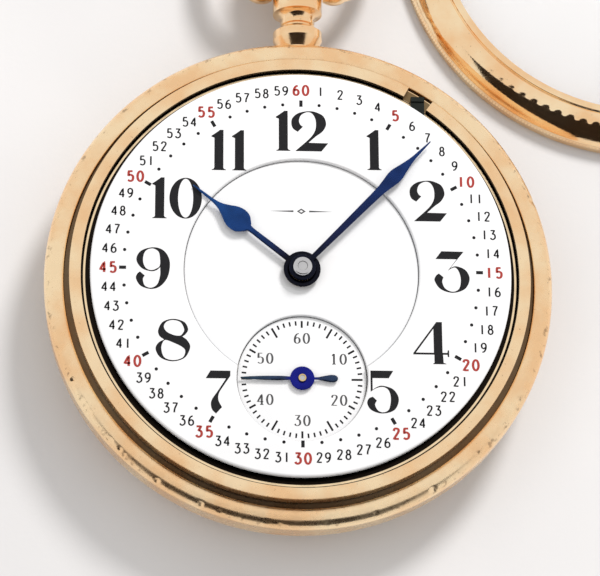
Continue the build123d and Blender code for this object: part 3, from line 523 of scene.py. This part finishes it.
MATERIALS = {
    "case_gold": worn_gold(),
    "crystal_glass": watch_glass(),
    "white_enamel": white_enamel(),
    "copper": metal("dial_copper", (0.72, 0.40, 0.27), (0.55, 0.28, 0.18), (0.25, 0.4)),
    "blued_steel": blued_steel(),
    "bright_steel": metal("bright_steel", (0.66, 0.66, 0.67), (0.52, 0.52, 0.54), (0.10, 0.22)),
    "train_brass": metal("train_brass", (0.85, 0.64, 0.33), (0.70, 0.50, 0.24), (0.18, 0.3)),
    "balance_gold": metal("balance_gold", (0.92, 0.68, 0.34), (0.80, 0.55, 0.25), (0.12, 0.22)),
    "nickel_plate": striped_nickel(),
    "ruby": ruby(),
}
BLACK_INK = print_ink("black_print", (0.005, 0.005, 0.006), (0.014, 0.014, 0.016))
RED_INK = print_ink("red_print", (0.36, 0.045, 0.035), (0.26, 0.03, 0.025))
LEVER_STEEL = metal("lever_steel", (0.045, 0.05, 0.045), (0.02, 0.022, 0.02), (0.25, 0.4))
HOUR_BLUE = blued_hand("hour_blue", (0, 0), (0, (0.004, 0.004, 0.008)), (1.9, (0.005, 0.006, 0.014)),
                       (3.0, (0.012, 0.018, 0.06)), (7.0, (0.012, 0.05, 0.20)), (15.0, (0.014, 0.08, 0.28)))
MINUTE_BLUE = blued_hand("minute_blue", (0, 0), (0, (0.004, 0.004, 0.008)), (1.4, (0.006, 0.008, 0.02)),
                         (5.0, (0.012, 0.018, 0.07)), (19.0, (0.011, 0.045, 0.20)))
SECONDS_BLUE = blued_hand("seconds_blue", SUB_AT, (0, (0.010, 0.014, 0.26)), (1.2, (0.010, 0.014, 0.24)),
                          (1.8, (0.03, 0.05, 0.12)), (6.3, (0.03, 0.065, 0.10)))
GREY_INK = print_ink("grey_print", (0.05, 0.05, 0.055), (0.09, 0.09, 0.09))


def dress_cad_nodes():
    """Gives every CAD node its slot's material, and smooth shading on its round faces."""
    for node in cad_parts.values():
        for place in node.material_slots:
            slot = place.material.name.split(".")[0]
            if slot in MATERIALS:
                place.material = MATERIALS[slot]
        node.data.polygons.foreach_set("use_smooth", [True] * len(node.data.polygons))
        weld = node.modifiers.new("weld", "WELD")
        weld.merge_threshold = 1e-7
        split = node.modifiers.new("sharp", "EDGE_SPLIT")
        split.split_angle = radians(28)
    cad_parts["setting_lever"].material_slots[0].material = LEVER_STEEL


# ---------------------------------------------------------------- case ring
NOTCH = (radians(53.9), radians(61.0))       # where the setting lever draws out, from three o'clock
NOTCH_FLOOR = 8.65


def nicks(count, seed):
    """Places, sizes and depths of the knocks along the case's outer edge."""
    draw = random.Random(seed)
    marks = []
    for _ in range(count):
        marks.append((draw.uniform(0, 2 * pi), draw.uniform(CREASE_R - 0.3, CREASE_R + 0.2),
                      draw.uniform(0.15, 0.35), draw.uniform(0.02, 0.07)))
    for angle in (198, 204, 206, 211, 212.5, 214, 222, 236, 247, 301, 330, 20, 33):
        marks.append((radians(angle), draw.uniform(CREASE_R - 0.2, CREASE_R + 0.1), draw.uniform(0.3, 0.5), 0.13))
    return marks


def case_ring():
    lower = flowing([(BACK_R, 3.0), (25.69, 3.4), (25.87, 4.0), (25.97, 4.55), (CASE_R, WALL_LOW)], 3)
    upper = arc((24.955, 6.97), 1.045, -3, 87, 16)
    crest = [(24.75, 8.06), (24.5, 8.07), (24.25, 8.05), (RIM_IN_R, RIM_TOP)]
    inside = [(RIM_IN_R, GROOVE_Z), (THREAD_ROOT_R, GROOVE_Z), (THREAD_ROOT_R, 7.7), (THREAD_R, 7.85),
              (THREAD_R, THREAD_TOP), (THREAD_IN_R, THREAD_TOP), (THREAD_IN_R, SHOULDER_Z),
              (SHOULDER_R, SHOULDER_Z), (SHOULDER_R, LEDGE_Z), (CAVITY_R, LEDGE_Z), (CAVITY_R, 4.5),
              (BACK_THREAD_R, 4.5), (BACK_THREAD_R, 3.0)]
    outline = divided(softened(lower + upper + crest + inside, 0.08), 0.4)
    marks = nicks(70, 11)
    waves = [(3, 0.5, 0.02), (7, 2.1, 0.012), (19, 4.0, 0.006)]
    by_angle = {}
    for mark in marks:
        for step in range(-4, 5):
            key = (int(mark[0] * TURN_STEPS / (2 * pi)) + step) % TURN_STEPS
            by_angle.setdefault(key, []).append(mark)

    def formed(r, z, a):
        if NOTCH[0] < a < NOTCH[1] and 22.0 < r < 23.6 and z > NOTCH_FLOOR:
            return r, NOTCH_FLOOR
        if r > 24.3 and z > 6.0:
            drop = sum(k * sin(n * a + p) for n, p, k in waves) * (r - 24.3) / 2
            for angle, at_r, size, depth in by_angle.get(int(a * TURN_STEPS / (2 * pi)), ()):
                away = hypot((a - angle) * 25, r - at_r) / size
                if away < 1:
                    drop += depth * (1 - away ** 2) ** 2
            z -= drop
            r -= drop * 0.5
        return r, z

    angles = [2 * pi * i / TURN_STEPS for i in range(TURN_STEPS)]
    step = 1e-4
    angles += [NOTCH[0] - step, NOTCH[0] + step, NOTCH[1] - step, NOTCH[1] + step]
    shape = Shape()
    turned(shape, outline, formed=formed, angles=sorted(angles))
    return piece("case_ring", shape, "case", case_ring_gold(), ["case_center"])


# ---------------------------------------------------------------- bezel and glass
COIN_NICKS = 440
COIN_TOP = 1.4
BEADS = 105


def bezel_ring():
    band = flowing([(26.05, 0.86), (25.85, 1.35), (25.45, 1.88), (24.95, 2.35), (24.2, 2.8), (23.4, 3.06),
                    (22.75, 3.2)], 7)
    lip = [(22.6, 3.1), (22.45, BEZEL_H), (21.7, 3.2), (21.7, 2.75), (22.28, 2.75), (22.28, 2.15),
           (22.0, 2.15), (22.0, 1.75), (23.5, 1.75), (23.5, 0.0), (25.75, 0.0), (26.05, 0.28)]
    outline = divided(softened(band + lip, 0.06), 0.3)

    def formed(r, z, a):
        if r > 25.6 and 0.2 < z < COIN_TOP:
            depth = min(1.0, (z - 0.2) / 0.12, (COIN_TOP - z) / 0.12)
            r -= 0.12 * depth * abs(sin(COIN_NICKS * a / 2))
        if 23.0 < r < 24.0 and z > 2.6:
            across = sin(pi * (r - 23.0))
            z += 0.09 * across * (abs(cos(BEADS * a / 2)) - 0.5)
        return r, z

    shape = Shape()
    turned(shape, outline, BEZEL_AT, COIN_NICKS * 4, formed)
    return piece("bezel_ring", shape, "bezel", bezel_gold(), ["bezel"], sharp=50)


def glass():
    steps = 24
    outer_r, inner_r = 21.65, 21.4
    seat_z, seat_top = 2.17, 2.72
    rise = GLASS_TOP - 2.95
    inner_top = GLASS_TOP - 0.9
    inner_rise = inner_top - seat_z
    outer = [(outer_r * k / steps, GLASS_TOP - rise * (k / steps) ** 2) for k in range(steps + 1)]
    inner = [(inner_r * k / steps, inner_top - inner_rise * (k / steps) ** 2) for k in range(steps + 1)]
    seat = [(outer_r, seat_top), (CRYSTAL_R, seat_top), (CRYSTAL_R, seat_z)]
    outline = outer + seat + inner[::-1]
    shape = Shape()
    turned(shape, outline, BEZEL_AT, 240)
    clear = MATERIALS["crystal_glass"]
    return piece("watch_glass_domed", shape, "bezel", clear, ["crystal"])


# ---------------------------------------------------------------- enamel dial
def circle_border(r, at, outward, steps=360):
    """A round border whose plate lies inside it, or outside it where outward is true."""
    def border(inset):
        radius = r + inset if outward else r - inset
        return [polar(radius, 2 * pi * i / steps, at) for i in range(steps)]
    return border


def joined_border(sink_r, sub_r, outward, steps=300):
    """The border where the round centre sink and the seconds sink run into each other."""
    far = -SUB_AT[1]

    def border(inset):
        big = sink_r + inset if outward else sink_r - inset
        small = sub_r + inset
        half = acos((big ** 2 + far ** 2 - small ** 2) / (2 * big * far))
        big_arc = [polar(big, -pi / 2 + half + (2 * pi - 2 * half) * i / steps) for i in range(steps)]
        x, y = polar(big, -pi / 2 - half)
        start = atan2(y - SUB_AT[1], x - SUB_AT[0])
        sweep = (3 * pi - 2 * (start % (2 * pi))) if outward else (pi - 2 * start)
        small_arc = [polar(small, start + sweep * i / 120, SUB_AT) for i in range(120)]
        return big_arc + small_arc
    return border


def dial():
    enamel = MATERIALS["white_enamel"]
    ring = Shape()
    plate(ring, [circle_border(DIAL_R, (0, 0), False), joined_border(MIDDLE_R, SUB_R, True)],
          ring_low.z, DIAL_Z, 0.22)
    piece("chapter_ring", ring, "case", enamel, ["dial_ring"])
    middle = Shape()
    edge = joined_border(MIDDLE_R - 0.05, SUB_R + 0.02, False)
    plate(middle, [edge, circle_border(1.6, (0, 0), True, 60)], middle_low.z, MIDDLE_Z, 0.12)
    piece("dial_middle", middle, "case", enamel, ["dial_center"])
    sub = Shape()
    plate(sub, [circle_border(SUB_R - 0.05, SUB_AT, False), circle_border(0.6, SUB_AT, True, 60)],
          sub_low.z, SUB_Z, 0.1)
    piece("seconds_dial", sub, "case", enamel, ["dial_seconds"])


# ---------------------------------------------------------------- dial print
C = CORNER
HEAVY_DIGITS = {
    "0": [[(37.4 + 37.4 * sin(radians(a)), 50 + 50 * cos(radians(a))) for a in range(0, 360, 30)],
          [(37.4 + 17.5 * sin(radians(a)), 50 + 47.6 * cos(radians(a))) for a in range(0, 360, 30)]],
    "1": [[(1, 0, C), (1, 1.5, C), (5, 3), (7, 6, C), (7, 80, C), (0, 83, C), (0, 85, C), (6, 89), (14, 95),
           (20, 100, C), (28, 100, C), (28, 6, C), (30, 3), (34, 1.5, C), (34, 0, C)]],
    "2": [[(10, 0, C), (71, 0, C), (87, 20.5, C), (41, 21, C), (58, 37), (74, 50), (82.5, 68), (76, 88),
           (58, 98), (40, 100), (18, 95), (4, 83), (1, 69), (5, 56), (16, 48, C), (28, 61, C), (22, 66),
           (19, 76), (24, 90), (38, 97.5), (50, 94), (57.5, 80), (58.5, 61), (54, 46), (42, 30)]],
    "3": [[(17, 100, C), (68.5, 99.5, C), (37, 60, C), (51, 64), (72, 55), (81, 34), (70, 10), (42, 0),
           (14, 8), (0, 28), (3, 40), (10, 46, C), (20.6, 37, C), (17.5, 26), (24, 10), (41, 2.5), (56, 10),
           (60.5, 32), (56, 52), (48, 61), (38, 58), (31, 53, C), (52, 81, C), (3, 81, C)]],
    "4": [[(0, 22.5, C), (0, 26, C), (54, 100, C), (67, 100, C), (67, 27, C), (78, 27, C), (79, 33, C),
           (82, 33, C), (82, 17, C), (79, 17, C), (78, 22.5, C), (68, 22.5, C), (69, 3, C), (75, 1.5, C),
           (75, 0, C), (45, 0, C), (45, 1.5, C), (48, 3, C), (48, 22.5, C)],
          [(6, 27, C), (47, 27, C), (47, 84, C)]],
    "5": [[(8, 100, C), (60, 100, C), (49.5, 82.5, C), (12.5, 82.5, C), (12.5, 55, C), (22, 61.5),
           (36, 64.7), (60, 56), (71.5, 34), (62, 9), (35, 0), (10, 7), (0, 22), (3, 34), (12.6, 39, C),
           (21.7, 30, C), (17.5, 20), (24, 7), (36, 2.7), (49, 10), (53.5, 34), (49, 54), (36, 62),
           (20, 58.5), (8, 50.5, C)]],
    "7": [[(10.6, 100, C), (55.5, 100, C), (55.5, 88, C), (41, 66), (30, 47), (29, 31), (37, 15, C),
           (23.7, 0, C), (15, 9), (12, 22), (15, 34), (27, 52), (46, 82, C), (0, 82, C)]],
    "8": [[(39.7, 100), (64, 93), (73, 76.5), (68, 65), (60, 58.5, C), (71, 50), (78, 33.5), (66, 9),
           (39, 0), (12, 8), (0, 28), (6, 43), (19, 51, C), (8, 60), (5.4, 74), (16, 93)],
          [(18, 82), (24, 93), (39, 97.3), (56, 92), (64, 75.5), (60, 65), (54, 60.5), (40, 62), (24, 70)],
          [(13, 28), (15, 42), (22, 50), (40, 44), (60, 34), (67, 24), (61, 9), (40, 2.7), (20, 9)]],
    "9": [[(37, 100), (60, 94), (74, 75), (76.5, 51), (70, 25), (54, 6), (34, 0), (11, 7), (0, 24), (2, 35),
           (8.5, 41.5, C), (19.5, 32, C), (15.5, 23), (20, 8), (34, 2.8), (48, 11), (54.5, 32),
           (54.6, 52.5, C), (46, 45), (32.8, 42.5), (12, 50), (0, 70.5), (10, 91)],
          [(15, 69), (20, 90), (35.5, 97.3), (50, 90), (54, 73), (53.5, 56), (46, 49), (34, 45), (21, 51)]],
}
HEAVY_WIDTH = {"0": 74.8, "1": 34, "2": 87, "3": 81, "4": 82, "5": 71.5, "7": 55.5, "8": 78, "9": 76.5}
HEAVY_GAP = {"10": 5.7, "11": 13.7, "12": 1.4}
HOUR_PLACES = {
    "12": (0.09, 15.0), "1": (7.49, 13.07), "2": (12.94, 7.61), "3": (15.22, 0.02), "4": (12.92, -7.49),
    "5": (8.0, -12.64), "7": (-8.4, -12.84), "8": (-12.9, -7.54), "9": (-14.98, -0.04),
    "10": (-12.65, 7.47), "11": (-7.4, 12.77),
}
HOUR_HEIGHT = 4.4

ROUND_0 = [(0.26 + 0.26 * sin(radians(a)), 0.5 + 0.5 * cos(radians(a))) for a in range(0, 360, 30)]
SIX = [(0.45, 0.98), (0.25, 0.9), (0.1, 0.65), (0.05, 0.35), (0.1, 0.1), (0.28, 0), (0.47, 0.1), (0.52, 0.3),
       (0.45, 0.5), (0.28, 0.57), (0.1, 0.45)]
LIGHT_DIGITS = {        # centre lines of one line weight, with the height 1; the flag says a line is closed
    "0": [(ROUND_0, True)],
    "1": [([(0.28, 0, C), (0.28, 1, C)], False)],
    "2": [([(0.05, 0.76), (0.12, 0.95), (0.28, 1), (0.47, 0.93), (0.5, 0.74), (0.38, 0.5), (0.05, 0, C),
            (0.52, 0, C)], False)],
    "3": [([(0.05, 1, C), (0.48, 1, C), (0.24, 0.6, C), (0.42, 0.57), (0.52, 0.4), (0.5, 0.15), (0.3, 0),
            (0.12, 0.04), (0.03, 0.17)], False)],
    "4": [([(0.4, 0, C), (0.4, 1, C), (0.02, 0.28, C), (0.55, 0.28, C)], False)],
    "5": [([(0.46, 1, C), (0.1, 1, C), (0.08, 0.56, C), (0.28, 0.63), (0.48, 0.52), (0.52, 0.3),
            (0.45, 0.08), (0.25, 0), (0.03, 0.1)], False)],
    "6": [(SIX, False)],
    "7": [([(0.03, 1, C), (0.5, 1, C), (0.25, 0.4), (0.2, 0)], False)],
    "8": [([(0.28 + 0.18 * sin(radians(a)), 0.76 + 0.23 * cos(radians(a))) for a in range(0, 360, 45)], True),
          ([(0.28 + 0.23 * sin(radians(a)), 0.27 + 0.27 * cos(radians(a))) for a in range(0, 360, 45)], True)],
    "9": [([(0.56 - x, 1 - y) for x, y in SIX], False)],
}
LIGHT_WIDTH = 0.55


def outlines_to_shape(shape, loops, z):
    """Adds filled outlines as print: the first loop is the outside and the rest are holes."""
    for height, turn in ((z, 1), (z + PRINT_LIFT, 1)):
        rings = [[Vector((x, y, height)) for x, y in loop] for loop in loops]
        flat = [p for ring in rings for p in ring]
        shape.add(flat, tessellate_polygon(rings))
    for loop in loops:
        shape.loops([[(x, y, z) for x, y in loop], [(x, y, z + PRINT_LIFT) for x, y in loop]])


def hour_numerals():
    shape = Shape()
    unit = HOUR_HEIGHT / 100
    for text, (cx, cy) in HOUR_PLACES.items():
        gap = HEAVY_GAP.get(text, 0)
        total = sum(HEAVY_WIDTH[d] for d in text) + gap
        x = -total / 2
        for digit in text:
            loops = []
            for points in HEAVY_DIGITS[digit]:
                loop = flowing(points, 6, closed=True)
                loops.append([(cx + (x + px) * unit, cy + (py - 50) * unit) for px, py in loop])
            outlines_to_shape(shape, loops, DIAL_Z)
            x += HEAVY_WIDTH[digit] + gap
    return piece("hour_numerals", shape, "case", BLACK_INK, sharp=40)


def ribbon(x, y, side, z):
    """Four corners of a line's cross-section, side being half its width as a vector."""
    left, right = (x - side[0], y - side[1]), (x + side[0], y + side[1])
    return [(*left, z), (*left, z + PRINT_LIFT), (*right, z + PRINT_LIFT), (*right, z)]


def stroke(shape, points, closed, thin, thick, z):
    """Adds a printed line whose upright stretches are thick and level ones thin."""
    count = len(points)
    rows = []
    for i, (x, y) in enumerate(points):
        before = points[(i - 1) % count] if closed or i else points[0]
        after = points[(i + 1) % count] if closed or i < count - 1 else points[-1]
        dx, dy = after[0] - before[0], after[1] - before[1]
        length = hypot(dx, dy) or 1.0
        half = (thin + (thick - thin) * (abs(dy) / length) ** 2) / 2
        rows.append(ribbon(x, y, (-dy / length * half, dx / length * half), z))
    shape.loops(rows, closed_rows=closed, capped=not closed)


def light_text(shape, text, center, height, thin, thick, z, serifs=False):
    """Adds a number in line digits, upright, centred on a point."""
    advance = (LIGHT_WIDTH + 0.16) * height + thick
    x0 = center[0] - (advance * (len(text) - 1) + LIGHT_WIDTH * height) / 2
    y0 = center[1] - height / 2
    for n, digit in enumerate(text):
        left = x0 + n * advance
        for points, closed in LIGHT_DIGITS[digit]:
            line = flowing(points, 5, closed)
            stroke(shape, [(left + x * height, y0 + y * height) for x, y in line], closed, thin, thick, z)
        if serifs and digit in "14":
            stem = left + (0.28 if digit == "1" else 0.4) * height
            foot = [(stem - 0.17 * height, y0), (stem + 0.17 * height, y0)]
            stroke(shape, foot, False, thin, thick, z)
        if serifs and digit == "1":
            flag = [(stem - 0.18 * height, y0 + 0.84 * height), (stem, y0 + height)]
            stroke(shape, flag, False, thin, thick, z)


def minute_track():
    black, red, marks = Shape(), Shape(), Shape()
    for minute in range(1, 61):
        angle = 6 * minute
        five = minute % 5 == 0
        if five:
            light_text(red, str(minute), clock(19.5, angle), 1.06, 0.2, 0.25, DIAL_Z)
            across = radians(90 - angle)
            rows = []
            for r in (17.68, 18.38):
                x, y = clock(r, angle)
                rows.append(ribbon(x, y, (-sin(across) * 0.17, cos(across) * 0.17), DIAL_Z))
            marks.loops(rows, capped=True)
        else:
            light_text(black, str(minute), clock(19.5, angle), 0.95, 0.14, 0.17, DIAL_Z)
            dot = [polar(0.17, 2 * pi * i / 16, clock(17.95, angle)) for i in range(16)]
            outlines_to_shape(marks, [dot], DIAL_Z)
    piece("minute_numerals", black, "case", BLACK_INK, sharp=40)
    piece("five_minute_numerals", red, "case", RED_INK, sharp=40)
    piece("minute_marks", marks, "case", BLACK_INK, sharp=40)


def seconds_track():
    ticks, numbers = Shape(), Shape()
    for second in range(60):
        angle = 6 * second
        inner = 5.6
        if second % 10 == 0:
            inner = 5.35
        elif second % 5 == 0:
            inner = 4.95
        stroke_line = [clock(inner, angle, SUB_AT), clock(6.06, angle, SUB_AT)]
        width = 0.2 if second % 5 == 0 else 0.17
        stroke(ticks, stroke_line, False, width, width, SUB_Z)
    for text in ("60", "10", "20", "30", "40", "50"):
        center = clock(4.25, 6 * int(text) % 360, SUB_AT)
        light_text(numbers, text, center, 1.05, 0.07, 0.2, SUB_Z, serifs=True)
    piece("seconds_marks", ticks, "case", BLACK_INK, sharp=40)
    piece("seconds_numerals", numbers, "case", GREY_INK, sharp=40)


def dial_ornament():
    """A lozenge between two tapered lines, where a dial is usually signed."""
    shape = Shape()
    y = 6.4
    lozenge = [(-0.45, y), (0, y + 0.3), (0.45, y), (0, y - 0.3)]
    hole = [(-0.22, y), (0, y + 0.14), (0.22, y), (0, y - 0.14)]
    outlines_to_shape(shape, [lozenge, hole], MIDDLE_Z)
    for side in (-1, 1):
        taper = [(side * 0.8, y - 0.09), (side * 3.2, y), (side * 0.8, y + 0.09)]
        outlines_to_shape(shape, [taper], MIDDLE_Z)
    return piece("dial_ornament", shape, "case", GREY_INK, sharp=40)


# ---------------------------------------------------------------- hands
def blade(shape, stations, z0, z1, crown, angle, at=(0, 0)):
    """Adds a hand's blade: (distance, half width) stations, with bevelled sides and a raised middle."""
    rows = []
    for y, w in stations:
        section = [(-w, z0), (-w, z1 - 0.05), (-0.72 * w, z1), (0, z1 + crown), (0.72 * w, z1),
                   (w, z1 - 0.05), (w, z0)]
        row = []
        for x, z in section:
            along, side = clock(y, angle), clock(x, angle + 90)
            row.append((at[0] + along[0] + side[0], at[1] + along[1] + side[1], z))
        rows.append(row)
    shape.loops(rows, capped=True)


def hub(shape, r_in, r_out, z0, z1, at=(0, 0)):
    """Adds a hand's round hub with a softly domed face."""
    width = r_out - r_in
    face = [(r_out - width * k / 8, z1 + 0.05 * sin(pi * k / 8)) for k in range(9)]
    outline = [(r_in, z0), (r_out, z0)] + face
    turned(shape, softened(outline, 0.06), at, 96)


def hour_hand():
    z0, z1 = hour_low.z, hour_high.z
    shape = Shape()
    stem = [(1.6, 0.31), (4.5, 0.3), (6.6, 0.29), (7.0, 0.55), (7.6, 1.08), (8.3, 1.25), (9.1, 1.1),
            (10.0, 0.62), (10.7, 0.32), (11.6, 0.17), (13.0, 0.12), (14.1, 0.06)]
    blade(shape, flowing(stem, 6), z0, z1, 0.03, HOUR_ANGLE)
    hub(shape, 1.27, 1.87, z0, z1)
    return piece("hour_hand_spade", shape, "hour", HOUR_BLUE, ["hour_hand"])


def minute_hand():
    z0, z1 = minute_low.z, minute_high.z
    shape = Shape()
    stem = [(1.1, 0.26), (5.0, 0.32), (11.0, 0.44), (12.4, 0.56), (13.8, 0.73), (15.0, 0.5), (16.4, 0.23),
            (17.8, 0.14), (19.1, 0.06)]
    blade(shape, flowing(stem, 6), z0, z1, 0.07, MINUTE_ANGLE)
    hub(shape, 0.77, 1.35, z0, z1)
    return piece("minute_hand_spade", shape, "minute", MINUTE_BLUE, ["minute_hand"])


def seconds_hand():
    z0, z1 = SECONDS_BLADE_Z
    shape = Shape()
    needle = [(1.0, 0.13), (2.0, 0.22), (4.0, 0.2), (5.4, 0.13), (6.15, 0.07)]
    blade(shape, flowing(needle, 6), z0, z1, 0.02, SECONDS_ANGLE, SUB_AT)
    tail = [(1.0, 0.12), (1.6, 0.14), (2.3, 0.28), (2.9, 0.38), (3.35, 0.32), (3.56, 0.12)]
    blade(shape, flowing(tail, 6), z0, z1, 0.02, SECONDS_ANGLE + 180, SUB_AT)
    hub(shape, 0.36, 1.22, z0, z1, SUB_AT)
    obj = piece("seconds_hand_blue", shape, "seconds", SECONDS_BLUE, ["seconds_hand"])
    socket = Shape()
    bore, outside = 0.25, 0.39
    wall = [(bore, seconds_low.z), (outside, seconds_low.z), (outside, seconds_high.z), (bore, seconds_high.z)]
    turned(socket, softened(wall, 0.04), SUB_AT, 64)
    piece("seconds_hand_socket", socket, "seconds", MATERIALS["train_brass"])
    return obj


# ---------------------------------------------------------------- setting
def area_light(name, place, target, size, power, color=(1, 1, 1)):
    data = bpy.data.lights.new(name, "AREA")
    data.shape = "DISK"
    data.size = size
    data.energy = power
    data.color = color
    obj = bpy.data.objects.new(name, data)
    obj.location = place
    obj.rotation_euler = (Vector(place) - Vector(target)).to_track_quat("Z", "Y").to_euler()
    obj.visible_glossy = False
    bpy.context.scene.collection.objects.link(obj)
    return obj


def floor():
    look = Look("pale_paper", Roughness=0.8)
    tint = look.ramp(look.noise(0.02, 3.0), (0.4, (0.60, 0.595, 0.60)), (0.6, (0.64, 0.635, 0.64)))
    material = look.finish(tint, None, look.noise(1.5, 3.0), 0.01)
    mesh = bpy.data.meshes.new("floor")
    half = 1.5
    z = -0.03 * MM       # just under the case back, so their faces don't coincide
    corners = [(-half, -half, z), (half, -half, z), (half, half, z), (-half, half, z)]
    mesh.from_pydata(corners, [], [(0, 1, 2, 3)])
    mesh.materials.append(material)
    obj = bpy.data.objects.new("floor", mesh)
    bpy.context.scene.collection.objects.link(obj)
    return obj


def dark_card(name, place, target, width, height):
    """A dark sheet out of view, which the polished gold reflects."""
    look = Look(name, Roughness=1.0)
    material = look.finish(look.mix(look.noise(0.01), (0.01, 0.008, 0.006), (0.03, 0.02, 0.015)), None)
    mesh = bpy.data.meshes.new(name)
    w, h = width / 2, height / 2
    mesh.from_pydata([(-w, -h, 0), (w, -h, 0), (w, h, 0), (-w, h, 0)], [], [(0, 1, 2, 3)])
    mesh.materials.append(material)
    obj = bpy.data.objects.new(name, mesh)
    obj.location = place
    obj.rotation_euler = (Vector(place) - Vector(target)).to_track_quat("Z", "Y").to_euler()
    obj.visible_camera = False
    obj.visible_shadow = False
    obj.visible_diffuse = False
    bpy.context.scene.collection.objects.link(obj)
    return obj


def studio():
    world = bpy.data.worlds.new("soft_room")
    world.use_nodes = True
    background = world.node_tree.nodes["Background"]
    background.inputs[0].default_value = (1.0, 0.985, 0.97, 1)
    background.inputs[1].default_value = 0.88
    bpy.context.scene.world = world
    area_light("key", (0.16, 0.28, 0.32), (0, 0, 0), 0.12, 1.75, (1.0, 0.98, 0.96))
    area_light("fill", (-0.30, 0.05, 0.40), (0, 0, 0), 0.30, 0.15)
    dark_card("dark_side", (-0.02, -0.33, 0.36), (0.02, 0.02, 0), 0.72, 0.56)
    bpy.context.scene.view_settings.view_transform = "Standard"


CAMERA_PLACE = (-16.16, -76.67, 245.03)
CAMERA_TARGET = (0, 0, 10.5)
CAMERA_ROLL = -0.3455
CAMERA_LENS = 147.2


def camera():
    data = bpy.data.cameras.new("camera")
    data.sensor_width = 36
    data.lens = CAMERA_LENS
    data.shift_x = -0.0032
    data.shift_y = -0.0301
    data.clip_start = 0.01
    obj = bpy.data.objects.new("camera", data)
    back = (Vector(CAMERA_PLACE) - Vector(CAMERA_TARGET)).normalized()
    right = Vector((0, 1, 0)).cross(back).normalized()
    up = back.cross(right)
    turn = Matrix((right, up, back)).transposed().to_4x4() @ Matrix.Rotation(radians(CAMERA_ROLL), 4, "Z")
    obj.matrix_world = Matrix.Translation([v * MM for v in CAMERA_PLACE]) @ turn
    bpy.context.scene.collection.objects.link(obj)
    bpy.context.scene.camera = obj
    return obj


dress_cad_nodes()
case_ring()
bezel_ring()
glass()
dial()
hour_numerals()
minute_track()
seconds_track()
dial_ornament()
hour_hand()
minute_hand()
seconds_hand()
floor()
studio()
camera()
